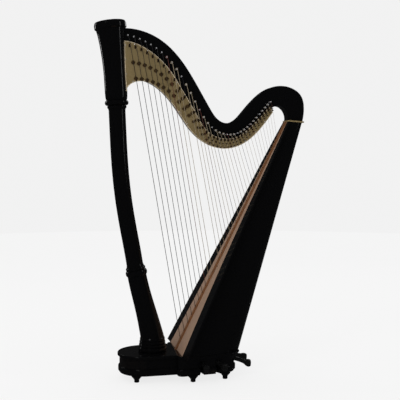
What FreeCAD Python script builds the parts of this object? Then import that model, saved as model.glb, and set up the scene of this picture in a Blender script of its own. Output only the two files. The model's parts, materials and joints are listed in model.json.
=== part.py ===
import FreeCAD, Part
import math
import os

# A pedal harp, standing on its six feet: millimetres, +Z up, +X from the column towards the
# player, -Y the side that carries the strings. The origin is on the floor, under the middle of
# the harp's length.

V = FreeCAD.Vector

# ---- overall sizes -------------------------------------------------------------------------
MIDDLE_X = 9.0            # middle of the harp's length, from the datum the side view is drawn on
REACH = 720.0             # column foot to the upper end of the soundboard, along X
RISE = 1680.0             # side view's datum to the top of the column head
COLUMN_FOOT_X = -250.0    # side view's datum: along X, and above the floor
DATUM_HEIGHT = 161.0

# ---- base ----------------------------------------------------------------------------------
FOOT_HEIGHT = 39.0
BASE_HEIGHT = 102.0
FOOT_TOP_RADIUS = 28.0
FOOT_SOLE_RADIUS = 13.0
FRONT_RADIUS = 126.0      # round front end of the base wall
FRONT_X = -303.0          # its centre
WAIST_X = -150.0          # where the wide rear part begins
REAR_HALF_FRONT = 172.0   # half width of the rear part at its front
REAR_HALF_BACK = 150.0    # half width near its rounded back
REAR_X = 163.0            # back end of the wall at its foot
REAR_LEAN = [(0.0, 0.0), (0.70, 3.0), (0.86, 20.0), (1.0, 37.0)]   # share of height, further back
REAR_FRONT_CORNER = 26.0
REAR_BACK_CORNER = 78.0
BASE_WALL = 12.0
TOP_BOARD = 14.0
TOP_OVERHANG = 10.0
TOP_ROUND = 4.0           # radius along the top board's edges
BOTTOM_BOARD = 10.0
MOULDING_HEIGHT = 26.0
MOULDING_OUT = 7.0
MOULDING_ROUND = 6.0
BOLT_HANG = 23.0          # how far the bolts under the base stop above the floor

# ---- column: diameters along its bowed axis ------------------------------------------------
SHAFT_RADIUS = 43.0
FOOT_RING_HEIGHT = 72.0
FOOT_RING_RADIUS = 74.0
COLUMN_FOOT_RADII = [62.0, 56.0, 52.0, 50.0, 49.0]
LOWER_RING_AT = 24.3      # height of the ring's middle, percent of RISE
LOWER_RING_HEIGHT = 60.0
LOWER_RING_RADIUS = 56.0
UPPER_RING_AT = 75.3
UPPER_RING_HEIGHT = 62.0
UPPER_RING_RADIUS = 60.5
CAPITAL_RADII = [56.0, 57.5, 58.0, 61.0, 66.0, 75.0]
CAPITAL_TOP_AT = 97.6
RIM_HEIGHT = 40.0
RIM_RADIUS = 82.0
BORE_RADIUS = 24.0
CABLE_RADIUS = 3.0
CABLE_CIRCLE = 14.0
CABLE_TOP = 91.0          # upper ends, percent of RISE
BORE_STATIONS = [14.0, 28.0, 42.0, 56.0, 70.0, 84.0, 93.0]

# ---- neck and action -----------------------------------------------------------------------
NECK_HALF = 30.0          # half the wood's thickness
NECK_FILLET = 9.0
PLATE = 6.0
PLATE_PROUD = 2.0         # plate's face stands this far out of the wood
RIGHT_PLATE_RISE = 12.0   # the right plate's lower edge is this much higher
ACTION_SLOT = 22.0        # the wood stops this far above the plates' lower edge
ROD_HEIGHT = 7.0
ROD_THICKNESS = 2.0
ROD_PITCH = 6.0
SHOULDER_THICKNESS = 7.0
SHOULDER_LIP = 1.5

# ---- strings -------------------------------------------------------------------------------
STRINGS = 36
WIRE_STRINGS = 7
PIN_FIRST_AT = -18.8      # lowest and highest strings' pins, percent of REACH
PIN_LAST_AT = 86.51
PIN_RATIO = 0.979         # each step along the neck is this share of the one before
BOARD_FIRST = 2.0         # first string on the board, from the board's datum
BOARD_RUN = 0.931         # first to last string, as a share of the board's length
BOARD_RATIO = 0.98
STRING_OUT = 12.0         # string plane, out from the plate's face
THICKEST_STRING = 1.25    # radii of the lowest and the highest string
THINNEST_STRING = 0.38
PIN_RADIUS = 3.6
PIN_OUT = 24.0            # pin's end on the strings' side, out from the wood
PIN_SHANK = 4.0           # its round part, out from the wood on the far side
PIN_KEY_END = 15.0        # its square part, out from the wood on the far side
PIN_SQUARE = 4.4
STRING_SUNK = 22.0        # each string's tail under the string rib's face
NUT_RADIUS = 3.2
NUT_PROUD = 3.0           # a nut's end beyond the strings
NUT_INSET_BASS = 20.0     # lowest string's nut under the plate's upper edge
NUT_INSET = 6.0           # the same from the middle strings up
NUT_STRAIGHT = 14         # strings over which the inset shrinks
NATURAL_AT = 0.0561       # a semitone shortens a string by this share
SHARP_AT = 0.1091
DISC_SHARE = 0.0105       # disc radius as a share of its string's length
DISC_LARGEST = 10.5
DISC_SMALLEST = 4.0
DISC_THICKNESS = 2.5
SPINDLE_RADIUS = 2.6
PRONG_RADIUS = 1.3
PRONG_LENGTH = 12.0
PRONG_INSET = 0.6         # prong to the disc's rim
NOTES = ["c", "d", "e", "f", "g", "a", "b"]
OCTAVE_FIRST = 7          # the strings whose pins and discs turn: one whole octave

# ---- soundboard and soundbox, in the board's own frame -------------------------------------
BOARD_FOOT = (20.4, 1.9)  # percent of REACH and RISE, on the board's centre line
BOARD_HEAD = (99.7, 69.6)
BOARD = 9.0
RIB_WIDTH = 26.0
RIB = 6.0
INNER_RIB = 10.0
STRING_HOLE = 3.0
PANEL_HALF = [(-0.06, 165.0), (0.10, 128.0), (0.30, 90.0), (0.55, 59.0), (0.80, 41.0), (1.02, 17.0)]
BOARD_HALF = [(-0.06, 254.0), (0.14, 215.0), (0.34, 175.0), (0.57, 128.0), (0.80, 92.0), (1.02, 46.0)]
BOX_HALF_HEAD = 44.0
BOX_HALF_FOOT = 172.0
BOX_DEPTH_HEAD = 90.0
BOX_DEPTH_FOOT = 314.0
BOX_WALL = 10.0
BACK_HALF_HEAD = 26.0
BACK_HALF_FOOT = 70.0
BOX_SQUARENESS = 2.6      # of the round back: 2 is an ellipse, more is squarer
BOX_FROM = -0.06          # ends of the untrimmed box, as shares of the board's length
BOX_TO = 1.06
SOUND_HOLES = 5
HOLE_FIRST = 0.24         # lowest sound hole, as a share of the board's length
HOLE_STEP = 0.155
HOLE_WIDTH = 0.62         # a sound hole's width as a share of the back's
HOLE_STRETCH = 1.45       # its length over its width
BRACE = 8.0               # half a hoop's width along the box
BRACE_DEPTH = 14.0
BRACE_SEAT = 0.25         # glue line between a hoop and the wall

# ---- pedals --------------------------------------------------------------------------------
PIVOT_X = -335.0
PIVOT_HEIGHT = 98.0
PIVOT_RADIUS = 4.0
PIVOT_PITCH = 14.0
EYE_RADIUS = 9.0
BAR_WIDTH = 6.5
BAR_HEIGHT = 12.0
ARM_WIDTH = 12.0          # the pedal outside the wall
ARM_OVER = 8.0
ARM_UNDER = 15.0
PEDAL_TRAVEL = 38.0       # drop of a pedal's toe, flat to sharp
PEDAL_ELBOW = 34.0        # the bar's bend sits this far inside the wall
TOE_RADIUS = 16.0
PAD_UNDER = 31.0          # the pad's lower and upper ends from the toe
PAD_OVER = 9.0
SLOT_ROOM = 4.0
SPRING_RADIUS = 6.0
SPRING_LENGTH = 2.0
POST_WIDTH = 24.0
POST_THICKNESS = 10.0
# name, X and Y where the bar leaves the wall, heading outside it in degrees, wall to toe, and
# how far the toe sits under the pivot
PEDALS = [
    ("d", -25.0, -163.0, -80.0, 48.0, 5.0),
    ("c", 60.0, -153.0, -62.0, 48.0, 6.0),
    ("b", 163.0, -66.0, -8.0, 80.0, 23.0),
    ("e", 165.0, 30.0, 8.0, 90.0, 20.0),
    ("f", 140.0, 127.0, 45.0, 60.0, 12.0),
    ("g", 50.0, 154.0, 70.0, 50.0, 8.0),
    ("a", -60.0, 166.0, 82.0, 48.0, 5.0),
]

FIT = 0.05                # radial clearance of a turning fit
AIR = 0.5                 # between pieces that move past each other

BASE_TOP = FOOT_HEIGHT + BASE_HEIGHT
WALL_FOOT = FOOT_HEIGHT + BOTTOM_BOARD
WALL_TOP = BASE_TOP - TOP_BOARD
PLATE_FACE = NECK_HALF + PLATE_PROUD
PLATE_BACK = PLATE_FACE - PLATE
STRING_Y = -(PLATE_FACE + STRING_OUT)

# The side view: points in percent of REACH and of RISE from its datum.
COLUMN_AXIS = [(-0.9, -1.6), (-1.7, 3.6), (-9.3, 17.3), (-16.1, 32.3), (-21.8, 47.1), (-24.7, 61.8),
               (-26.0, 74.9), (-27.8, 88.0), (-30.8, 100.0)]
SHOULDER_FRONT = (100.7, 70.9)
SHOULDER_BACK = (112.6, 70.55)
NECK_TOP = [(-24.0, 97.9), (-9.0, 97.5), (5.3, 94.9), (19.7, 89.2), (34.4, 79.5), (41.9, 74.0),
            (47.5, 70.9), (53.2, 69.8), (59.0, 70.4), (66.0, 73.2), (76.0, 77.9), (86.0, 80.9),
            (95.3, 81.8), (104.5, 81.1), (111.3, 78.9), (113.8, 74.6), SHOULDER_BACK]
KNEE_INSIDE = [SHOULDER_FRONT, (100.5, 72.6), (98.2, 74.4), (94.3, 75.4), (89.0, 74.9)]
PLATE_TOP = [(-24.0, 94.2), (-13.0, 93.5), (-1.5, 91.0), (9.9, 86.7), (21.5, 79.3), (30.4, 73.0),
             (39.3, 67.3), (45.3, 65.6), (52.0, 64.9), (60.3, 65.3), (70.0, 67.9), (79.0, 71.6),
             (87.5, 75.3)]
PLATE_FOOT = [(-19.9, 78.7), (-16.7, 81.1), (-7.4, 82.1), (4.2, 79.5), (15.7, 74.1),
              (27.4, 67.0), (39.3, 63.0), (48.0, 61.9), (54.3, 61.8), (66.4, 63.4),
              (78.6, 67.7), (89.0, 73.3)]
PIN_LINE = [(-23.0, 95.9), (-4.7, 93.6), (11.0, 88.6), (22.9, 81.4), (33.2, 73.4), (41.8, 68.4),
            (50.3, 66.4), (59.2, 66.3), (70.0, 69.0), (78.8, 73.0), (87.5, 76.9)]

pieces = {}


def at(u, v, y=0.0):
    """The point of the side view at u percent of REACH and v percent of RISE."""
    return V(COLUMN_FOOT_X + u * REACH / 100.0, y, DATUM_HEIGHT + v * RISE / 100.0)


def curve(points, y=0.0):
    """A smooth curve through points of the side view, in the plane y."""
    spline = Part.BSplineCurve()
    spline.interpolate([at(u, v, y) for u, v in points])
    return spline


def at_x(line, x):
    """The height of a side-view curve at x, for a curve that never turns back in X."""
    low, high = line.FirstParameter, line.LastParameter
    for _ in range(50):
        middle = (low + high) / 2.0
        if line.value(middle).x < x:
            low = middle
        else:
            high = middle
    return line.value(low).z


def face_of(edges):
    """The flat face inside a ring of edges."""
    return Part.Face(Part.Wire(Part.__sortEdges__(edges)))


def slab(edges, y_low, y_high):
    """A side-view outline, drawn at y = 0, as a plate from y_low to y_high."""
    face = face_of(edges)
    face.translate(V(0, y_low, 0))
    return face.extrude(V(0, y_high - y_low, 0))


def rod(start, end, radius):
    """A round bar from start to end."""
    way = end - start
    return Part.makeCylinder(radius, way.Length, start, way)


def lathe(profile, centre, way):
    """A turned piece: profile lists (radius, height) up from centre, which lies on its axis."""
    points = [V(radius, 0, height) for radius, height in profile]
    points = [V(0, 0, profile[0][1])] + points + [V(0, 0, profile[-1][1])]
    face = Part.Face(Part.makePolygon(points + [points[0]]))
    solid = face.revolve(V(0, 0, 0), V(0, 0, 1), 360)
    solid.Placement = FreeCAD.Placement(centre, FreeCAD.Rotation(V(0, 0, 1), way))
    return solid


def bead(radius, out, low, high, steps=8):
    """The profile of a half-round ring that stands out from radius, from low to high."""
    middle, half = (low + high) / 2.0, (high - low) / 2.0
    angles = [math.pi * k / steps - math.pi / 2.0 for k in range(steps + 1)]
    return [(radius + out * math.cos(a), middle + half * math.sin(a)) for a in angles]


def tube_through(rings, ruled=False):
    """A solid lofted through circles, each given as centre, direction and radius."""
    wires = [Part.Wire(Part.makeCircle(radius, centre, way)) for centre, way, radius in rings]
    return Part.makeLoft(wires, True, ruled)


def add(name, *solids):
    """Keeps a named piece made of one or more solids."""
    pieces[name] = list(solids)


# ---- base ----------------------------------------------------------------------------------
def rounded_plan(corners, z):
    """A closed outline of arcs and their common tangents; corners are (x, y, radius), in turn."""
    count = len(corners)
    sides = []
    for k in range(count):
        ax, ay, ar = corners[k]
        bx, by, br = corners[(k + 1) % count]
        gap = math.hypot(bx - ax, by - ay)
        heading = math.atan2(by - ay, bx - ax)
        sides.append(heading - math.acos((ar - br) / gap))

    def on_corner(k, angle):
        x, y, radius = corners[k % count]
        return V(x + radius * math.cos(angle), y + radius * math.sin(angle), z)

    edges = []
    for k in range(count):
        turn = (sides[k] - sides[k - 1]) % (2.0 * math.pi)
        start, middle = on_corner(k, sides[k - 1]), on_corner(k, sides[k - 1] + turn / 2.0)
        end = on_corner(k, sides[k])
        edges.append(Part.Arc(start, middle, end).toShape())
        edges.append(Part.LineSegment(end, on_corner(k + 1, sides[k])).toShape())
    return Part.Wire(edges)


def front_plan(grow, z):
    """The outline of the narrow front part, run back into the rear part."""
    radius = FRONT_RADIUS + grow
    back = WAIST_X + REAR_FRONT_CORNER + BASE_WALL
    flank = radius - REAR_FRONT_CORNER
    return rounded_plan([(FRONT_X, 0.0, radius),
                         (back, -flank, REAR_FRONT_CORNER),
                         (back, flank, REAR_FRONT_CORNER)], z)


def rear_plan(grow, z, rear_x):
    """The outline of the wide rear part that stands under the soundbox."""
    front, back = REAR_FRONT_CORNER, REAR_BACK_CORNER
    x_front, x_back = WAIST_X + front, rear_x - back
    y_front, y_back = REAR_HALF_FRONT - front, REAR_HALF_BACK - back
    return rounded_plan([(x_front, -y_front, front + grow), (x_back, -y_back, back + grow),
                         (x_back, y_back, back + grow), (x_front, y_front, front + grow)], z)


def rear_x_at(z):
    """How far back the leaning rear wall stands at a height."""
    share = min(1.0, max(0.0, (z - FOOT_HEIGHT) / BASE_HEIGHT))
    for (low, a), (high, b) in zip(REAR_LEAN, REAR_LEAN[1:]):
        if share <= high:
            return REAR_X + a + (b - a) * (share - low) / (high - low)
    return REAR_X + REAR_LEAN[-1][1]


def base_block(grow, rear_grow, z_low, z_high):
    """The base's outer form between two heights, its two parts grown sideways."""
    front = Part.Face(front_plan(grow, z_low)).extrude(V(0, 0, z_high - z_low))
    bends = [FOOT_HEIGHT + share * BASE_HEIGHT for share, lean in REAR_LEAN]
    heights = [z_low] + [z for z in bends if z_low + 1.0 < z < z_high - 1.0] + [z_high]
    sections = [rear_plan(rear_grow, z, rear_x_at(z)) for z in heights]
    return front.fuse(Part.makeLoft(sections, True, True)).removeSplitter()


def pedal_points(pedal):
    """Pivot, elbow, wall exit and toe of a pedal, and its direction outside the wall."""
    index = PEDALS.index(pedal)
    name, exit_x, exit_y, heading, out, drop = pedal
    way = V(math.cos(math.radians(heading)), math.sin(math.radians(heading)), 0)
    pivot = V(PIVOT_X, (index - (len(PEDALS) - 1) / 2.0) * PIVOT_PITCH, PIVOT_HEIGHT)
    leaving = V(exit_x, exit_y, PIVOT_HEIGHT)
    elbow = leaving - way * PEDAL_ELBOW
    toe = leaving + way * out + V(0, 0, -drop)
    return pivot, elbow, leaving, toe, way


def pedal_travel(pedal):
    """The angle, in degrees, that drops the toe by its travel."""
    pivot, elbow, leaving, toe, way = pedal_points(pedal)
    return math.degrees(math.asin(PEDAL_TRAVEL / (toe.x - pivot.x)))


def block_along(start, way, length, width, z_low, z_high):
    """An upright block of a given width that runs from start along way."""
    side = V(-way.y, way.x, 0) * (width / 2.0)
    ground = V(start.x, start.y, z_low)
    corners = [ground - side, ground - side + way * length, ground + side + way * length,
               ground + side, ground - side]
    return Part.Face(Part.makePolygon(corners)).extrude(V(0, 0, z_high - z_low))


def pedal_slot(pedal):
    """The opening in the wall that a pedal bar moves in."""
    pivot, elbow, leaving, toe, way = pedal_points(pedal)
    drop = math.radians(pedal_travel(pedal))
    reach = leaving.x - pivot.x
    low = PIVOT_HEIGHT - ARM_UNDER - reach * math.sin(drop) - 3.0 * SLOT_ROOM
    high = PIVOT_HEIGHT + ARM_OVER + SLOT_ROOM
    width = ARM_WIDTH + 2.0 * SLOT_ROOM + 2.0 * BASE_WALL * math.sin(drop)
    return block_along(elbow - way * 16.0, way, 90.0, width, low, high)


def rounded(block, radius, z):
    """A block with its outer edges at height z rounded."""
    edges = [edge for edge in block.Edges
             if abs(edge.BoundBox.ZMin - z) < 0.01 and abs(edge.BoundBox.ZMax - z) < 0.01]
    return block.makeFillet(radius, edges)


def base():
    """The hollow wall with its pedal slots, closed by a board above and one below."""
    outer = base_block(0.0, 0.0, WALL_FOOT, WALL_TOP)
    inner = base_block(-BASE_WALL, -BASE_WALL, WALL_FOOT - 1.0, WALL_TOP + 1.0)
    slots = [pedal_slot(pedal) for pedal in PEDALS]
    add("base_shell", outer.cut([inner] + slots))

    top = rounded(base_block(TOP_OVERHANG, 0.0, WALL_TOP, BASE_TOP), TOP_ROUND, BASE_TOP)
    under = V(column_base().x, 0, WALL_TOP - TOP_BOARD)
    add("base_top_board", top.cut(Part.makeCylinder(BORE_RADIUS, 3 * TOP_BOARD, under)))
    add("base_bottom_board", base_block(0.0, 0.0, FOOT_HEIGHT, WALL_FOOT).cut(slots))

    band_top = WALL_FOOT + MOULDING_HEIGHT
    band = base_block(MOULDING_OUT, MOULDING_OUT, WALL_FOOT, band_top)
    band = rounded(band, MOULDING_ROUND, band_top)
    add("base_moulding", band.cut([outer] + slots))


def feet():
    """Six cup feet, and the two bolts that hang under the base."""
    rim = FOOT_HEIGHT - 5.0
    cup = [(FOOT_SOLE_RADIUS - 2.0, 0.0), (FOOT_SOLE_RADIUS, 2.0), (FOOT_SOLE_RADIUS, 13.0),
           (FOOT_SOLE_RADIUS + 4.0, 0.5 * FOOT_HEIGHT), (FOOT_TOP_RADIUS - 3.0, rim - 6.0),
           (FOOT_TOP_RADIUS, rim), (FOOT_TOP_RADIUS, FOOT_HEIGHT)]
    places = [(FRONT_X - 0.38 * FRONT_RADIUS, 0.62 * FRONT_RADIUS),
              (WAIST_X + 0.48 * REAR_HALF_FRONT, REAR_HALF_FRONT - 38.0),
              (REAR_X - 55.0, REAR_HALF_BACK - 36.0)]
    add("feet", *[lathe(cup, V(x, side * y, 0), V(0, 0, 1)) for x, y in places for side in (-1, 1)])
    length = FOOT_HEIGHT - BOLT_HANG
    stud = lathe([(9.0, 0.0), (11.0, 2.0), (11.0, 0.75 * length), (7.0, length)],
                 V(column_base().x, 0, BOLT_HANG), V(0, 0, 1))
    boss = lathe([(10.0, 0.0), (14.0, 3.0), (17.0, 0.5 * length), (17.0, length)],
                 V(WAIST_X + 16.0, 0, BOLT_HANG), V(0, 0, 1))
    add("base_bolts", stud, boss)


# ---- column --------------------------------------------------------------------------------
AXIS = curve(COLUMN_AXIS)


def axis_at(v):
    """Point and direction of the column axis at v percent of RISE."""
    low, high = AXIS.FirstParameter, AXIS.LastParameter
    height = at(0, v).z
    for _ in range(50):
        middle = (low + high) / 2.0
        if AXIS.value(middle).z < height:
            low = middle
        else:
            high = middle
    way = AXIS.tangent(low)[0]
    return AXIS.value(low), way


def ring_ends(v, height):
    """Lower end, upper end and direction of a ring whose middle is at v percent of RISE."""
    centre, way = axis_at(v)
    return centre - way * (height / 2.0), centre + way * (height / 2.0), way


def stretch(low, high, radii):
    """A turned stretch of the column between two stations, each (point, direction, percent)."""
    rings = [(low[0], low[1], radii[0])]
    last = len(radii) - 1
    for k in range(1, last):
        point, way = axis_at(low[2] + (high[2] - low[2]) * k / last)
        rings.append((point, way, radii[k]))
    rings.append((high[0], high[1], radii[-1]))
    return tube_through(rings)


def column_base():
    """Where the column's axis meets the base top."""
    return axis_at(100.0 * (BASE_TOP - DATUM_HEIGHT) / RISE)[0]


def foot_ring():
    """The turned foot of the column: a plinth and three beads, each narrower than the last."""
    ring, step = FOOT_RING_RADIUS, FOOT_RING_HEIGHT / 4.0
    profile = (bead(ring - 6, 6.0, 0, 1.3 * step) + bead(ring - 8, 4.5, 1.3 * step, 2.2 * step)
               + bead(ring - 10, 4.0, 2.2 * step, 3.1 * step)
               + bead(ring - 12, 3.5, 3.1 * step, 4.0 * step))
    return lathe(profile, column_base(), V(0, 0, 1))


def lower_ring(start, way):
    """The turned ring a quarter of the way up."""
    ring, third = LOWER_RING_RADIUS, LOWER_RING_HEIGHT / 3.0
    profile = (bead(ring - 8, 8.0, 0, 1.5 * third) + bead(ring - 10, 5.0, 1.5 * third, 2.3 * third)
               + [(SHAFT_RADIUS + 2, 2.5 * third), (SHAFT_RADIUS, 3 * third)])
    return lathe(profile, start, way)


def upper_ring(start, way):
    """The turned ring under the capital."""
    ring, third = UPPER_RING_RADIUS, UPPER_RING_HEIGHT / 3.0
    profile = ([(SHAFT_RADIUS + 1, 0.0)] + bead(ring - 16, 5.0, 0.3 * third, 1.1 * third)
               + bead(ring - 9, 9.0, 1.1 * third, 2.3 * third)
               + [(ring - 6, 2.6 * third), (ring - 4.5, 3 * third)])
    return lathe(profile, start, way)


def capital_rim(start, way):
    """The plain rim on top of the capital."""
    profile = [(CAPITAL_RADII[-1], 0.0), (RIM_RADIUS, 6.0), (RIM_RADIUS, RIM_HEIGHT - 14.0),
               (RIM_RADIUS - 2.0, RIM_HEIGHT - 8.0), (RIM_RADIUS - 5.0, RIM_HEIGHT - 2.0),
               (RIM_RADIUS - 9.0, RIM_HEIGHT)]
    return lathe(profile, start, way)


def column():
    """The bored column in five pieces; returns what the neck is fitted to."""
    low_a, low_b, low_way = ring_ends(LOWER_RING_AT, LOWER_RING_HEIGHT)
    up_a, up_b, up_way = ring_ends(UPPER_RING_AT, UPPER_RING_HEIGHT)
    cap, cap_way = axis_at(CAPITAL_TOP_AT)
    half_low, half_up = 50.0 * LOWER_RING_HEIGHT / RISE, 50.0 * UPPER_RING_HEIGHT / RISE
    ring_top = column_base() + V(0, 0, FOOT_RING_HEIGHT)
    foot = stretch((ring_top, V(0, 0, 1), 100.0 * (ring_top.z - DATUM_HEIGHT) / RISE),
                   (low_a, low_way, LOWER_RING_AT - half_low), COLUMN_FOOT_RADII)
    shaft = stretch((low_b, low_way, LOWER_RING_AT + half_low),
                    (up_a, up_way, UPPER_RING_AT - half_up), [SHAFT_RADIUS] * 6)
    capital = stretch((up_b, up_way, UPPER_RING_AT + half_up), (cap, cap_way, CAPITAL_TOP_AT),
                      CAPITAL_RADII)
    rim, upper = capital_rim(cap, cap_way), upper_ring(up_a, up_way)
    bore = cable_bore()
    add("column_foot", foot_ring().fuse(foot).cut(bore))
    add("column_lower_ring", lower_ring(low_a, low_way).cut(bore))
    add("column_shaft", shaft.cut(bore))
    add("column_upper_ring", upper.cut(bore))
    add("capital", capital.cut(bore), rim)
    return [capital, rim, upper]


def cable_bore():
    """The bore inside the column that the pedal cables run in."""
    rings = [(column_base(), V(0, 0, 1), BORE_RADIUS)]
    for v in BORE_STATIONS:
        point, way = axis_at(v)
        rings.append((point, way, BORE_RADIUS))
    return tube_through(rings)


def cable(k):
    """One pedal cable; the seven stand in a circle inside the bore."""
    turn = 2.0 * math.pi * k / len(NOTES)
    side, up = V(0, 1, 0), V(0, 0, 1)
    stations = [(column_base(), up)] + [axis_at(min(v, CABLE_TOP)) for v in BORE_STATIONS]
    rings = []
    for point, way in stations:
        point = point + side * (CABLE_CIRCLE * math.cos(turn))
        point = point + way.cross(side) * (CABLE_CIRCLE * math.sin(turn))
        rings.append((point, way, CABLE_RADIUS))
    return tube_through(rings, True)


def cables():
    """The seven pedal cables."""
    add("pedal_cables", *[cable(k) for k in range(len(NOTES))])


# ---- board frame ---------------------------------------------------------------------------
BOARD_ORIGIN = at(*BOARD_FOOT)
BOARD_END = at(*BOARD_HEAD)
BOARD_WAY = (BOARD_END - BOARD_ORIGIN).normalize()
BOARD_LENGTH = (BOARD_END - BOARD_ORIGIN).Length
BOARD_OUT = BOARD_WAY.cross(V(0, 1, 0))
BOARD_PLACE = FreeCAD.Placement(FreeCAD.Matrix(
    BOARD_WAY.x, 0, BOARD_OUT.x, BOARD_ORIGIN.x,
    BOARD_WAY.y, 1, BOARD_OUT.y, BOARD_ORIGIN.y,
    BOARD_WAY.z, 0, BOARD_OUT.z, BOARD_ORIGIN.z,
    0, 0, 0, 1))


def on_board(s, y=0.0, out=0.0):
    """A point given along the board, across it and out towards the strings."""
    return BOARD_ORIGIN + BOARD_WAY * s + V(0, y, 0) + BOARD_OUT * out


def placed(shape):
    """A shape drawn in the board's frame, put where the board is."""
    moved = shape.copy()
    moved.Placement = BOARD_PLACE
    return moved


# ---- strings, pins, nuts and discs ---------------------------------------------------------
def geometric(count, total, ratio):
    """Places from 0 to total whose steps shrink by ratio."""
    scale = total / (1.0 - ratio ** (count - 1))
    return [scale * (1.0 - ratio ** k) for k in range(count)]


PIN_STEPS = geometric(STRINGS, (PIN_LAST_AT - PIN_FIRST_AT) * REACH / 100.0, PIN_RATIO)
BOARD_STEPS = geometric(STRINGS, BOARD_RUN * BOARD_LENGTH, BOARD_RATIO)
PINS = curve(PIN_LINE)
PLATE_EDGE = curve(PLATE_TOP)


def string_radius(k):
    """The radius of string k."""
    return THICKEST_STRING + (THINNEST_STRING - THICKEST_STRING) * k / (STRINGS - 1)


def pin_centre(k):
    """The middle of string k's pin."""
    x = at(PIN_FIRST_AT, 0).x + PIN_STEPS[k]
    return V(x, 0, at_x(PINS, x))


def string_ends(k):
    """The string's tangent point on its pin and its point on the string rib's face."""
    top = pin_centre(k) + V(PIN_RADIUS + string_radius(k) + AIR, 0, 0)
    top.y = STRING_Y
    foot = on_board(BOARD_FIRST + BOARD_STEPS[k], 0.0, RIB)
    return top, foot


def nut_point(k):
    """Where string k meets its nut: under the plate's upper edge, level with its pin end in Y."""
    top, foot = string_ends(k)
    way = V(foot.x - top.x, 0, foot.z - top.z).normalize()
    share = max(0.0, 1.0 - k / NUT_STRAIGHT)
    inset = NUT_INSET + (NUT_INSET_BASS - NUT_INSET) * share
    drop = inset
    for _ in range(4):
        edge = at_x(PLATE_EDGE, (top + way * drop).x)
        drop = (top.z - (edge - inset)) / -way.z
    return top + way * drop


def speaking_way(k):
    """The string's direction between its nut and the soundboard, and its length there."""
    span = string_ends(k)[1] - nut_point(k)
    return V(span).normalize(), span.Length


def disc_radius(k):
    """The radius of string k's discs, which grows with its length."""
    return max(DISC_SMALLEST, min(DISC_LARGEST, DISC_SHARE * speaking_way(k)[1]))


def disc_centre(k, share):
    """The middle of a disc, at y = 0, that shortens string k by a share of its length."""
    way, length = speaking_way(k)
    point = nut_point(k) + way * (share * length)
    return V(point.x, 0, point.z)


def disc(k, share):
    """A two-pronged disc on its spindle; the string passes between the prongs."""
    centre = disc_centre(k, share)
    radius = disc_radius(k)
    face = -(PLATE_FACE + AIR)
    turned = radius - PRONG_RADIUS - PRONG_INSET
    way, length = speaking_way(k)
    across = V(way.z, 0, -way.x).normalize()
    body = Part.makeCylinder(radius, DISC_THICKNESS, V(centre.x, face, centre.z), V(0, -1, 0))
    inside = -(PLATE_BACK + AIR)
    body = body.fuse(Part.makeCylinder(SPINDLE_RADIUS, inside - face, V(centre.x, face, centre.z),
                                       V(0, 1, 0)))
    for side in (-1, 1):
        foot_of_prong = V(centre.x, face - DISC_THICKNESS, centre.z) + across * (side * turned)
        body = body.fuse(Part.makeCylinder(PRONG_RADIUS, PRONG_LENGTH, foot_of_prong, V(0, -1, 0)))
    return body


def tuning_pin(k):
    """A round pin through the neck, with a square end for the key on the far side."""
    centre = pin_centre(k)
    near, far = -(NECK_HALF + PIN_OUT), NECK_HALF + PIN_KEY_END
    shank = Part.makeCylinder(PIN_RADIUS, NECK_HALF + PIN_SHANK - near,
                              V(centre.x, near, centre.z), V(0, 1, 0))
    half = PIN_SQUARE / 2.0
    key = Part.makeBox(PIN_SQUARE, far - NECK_HALF, PIN_SQUARE,
                       V(centre.x - half, NECK_HALF, centre.z - half))
    return shank.fuse(key)


def bridge_nut(k):
    """A round stud on the plate that the string bears on."""
    point, way = nut_point(k), speaking_way(k)[0]
    side = V(way.z, 0, -way.x).normalize()
    centre = point + side * (NUT_RADIUS + string_radius(k) + FIT)
    root = V(centre.x, -PLATE_FACE, centre.z)
    return Part.makeCylinder(NUT_RADIUS, STRING_OUT + NUT_PROUD, root, V(0, -1, 0))


def octave():
    """The numbers of the strings whose pins and discs turn."""
    return range(OCTAVE_FIRST, OCTAVE_FIRST + len(NOTES))


def action_parts():
    """Nuts, pins and discs: one piece for those that stay still, one each for those that turn."""
    add("bridge_nuts", *[bridge_nut(k) for k in range(STRINGS)])
    still = [k for k in range(STRINGS) if k not in octave()]
    add("tuning_pins", *[tuning_pin(k) for k in still])
    add("string_discs", *[disc(k, share) for k in still for share in (NATURAL_AT, SHARP_AT)])
    for k in octave():
        note = NOTES[k % len(NOTES)]
        add("tuning_pin_" + note, tuning_pin(k))
        add("natural_disc_" + note, disc(k, NATURAL_AT))
        add("sharp_disc_" + note, disc(k, SHARP_AT))


def string(k):
    """A string from its pin over its nut, and on through the soundboard."""
    top, foot = string_ends(k)
    nut, radius = nut_point(k), string_radius(k)
    way, length = speaking_way(k)
    knee = Part.makeSphere(radius, nut)
    return rod(top, nut, radius).fuse([rod(nut, foot + way * STRING_SUNK, radius), knee])


def strings():
    """The wound wire strings and the gut strings."""
    add("strings_wire", *[string(k) for k in range(WIRE_STRINGS)])
    add("strings_gut", *[string(k) for k in range(WIRE_STRINGS, STRINGS)])


# ---- neck ----------------------------------------------------------------------------------
def closed(first, second):
    """Two curves that run side by side, joined by straight lines at their ends."""
    a, b = first.value(first.FirstParameter), first.value(first.LastParameter)
    c, d = second.value(second.FirstParameter), second.value(second.LastParameter)
    return [first.toShape(), Part.LineSegment(b, d).toShape(), second.toShape(),
            Part.LineSegment(c, a).toShape()]


def raised(points, rise):
    """Points of the side view, moved up by rise."""
    return [(u, v + 100.0 * rise / RISE) for u, v in points]


def largest(shape):
    """The largest solid of a shape."""
    return max(shape.Solids, key=lambda solid: solid.Volume)


def left_slab():
    """The strings' plate before it is bored."""
    return slab(closed(curve(PLATE_TOP), curve(PLATE_FOOT)), -PLATE_FACE, -PLATE_BACK)


def right_slab():
    """The far plate, which hangs less low."""
    foot = curve(raised(PLATE_FOOT, RIGHT_PLATE_RISE))
    return slab(closed(curve(PLATE_TOP), foot), PLATE_BACK, PLATE_FACE)


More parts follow.
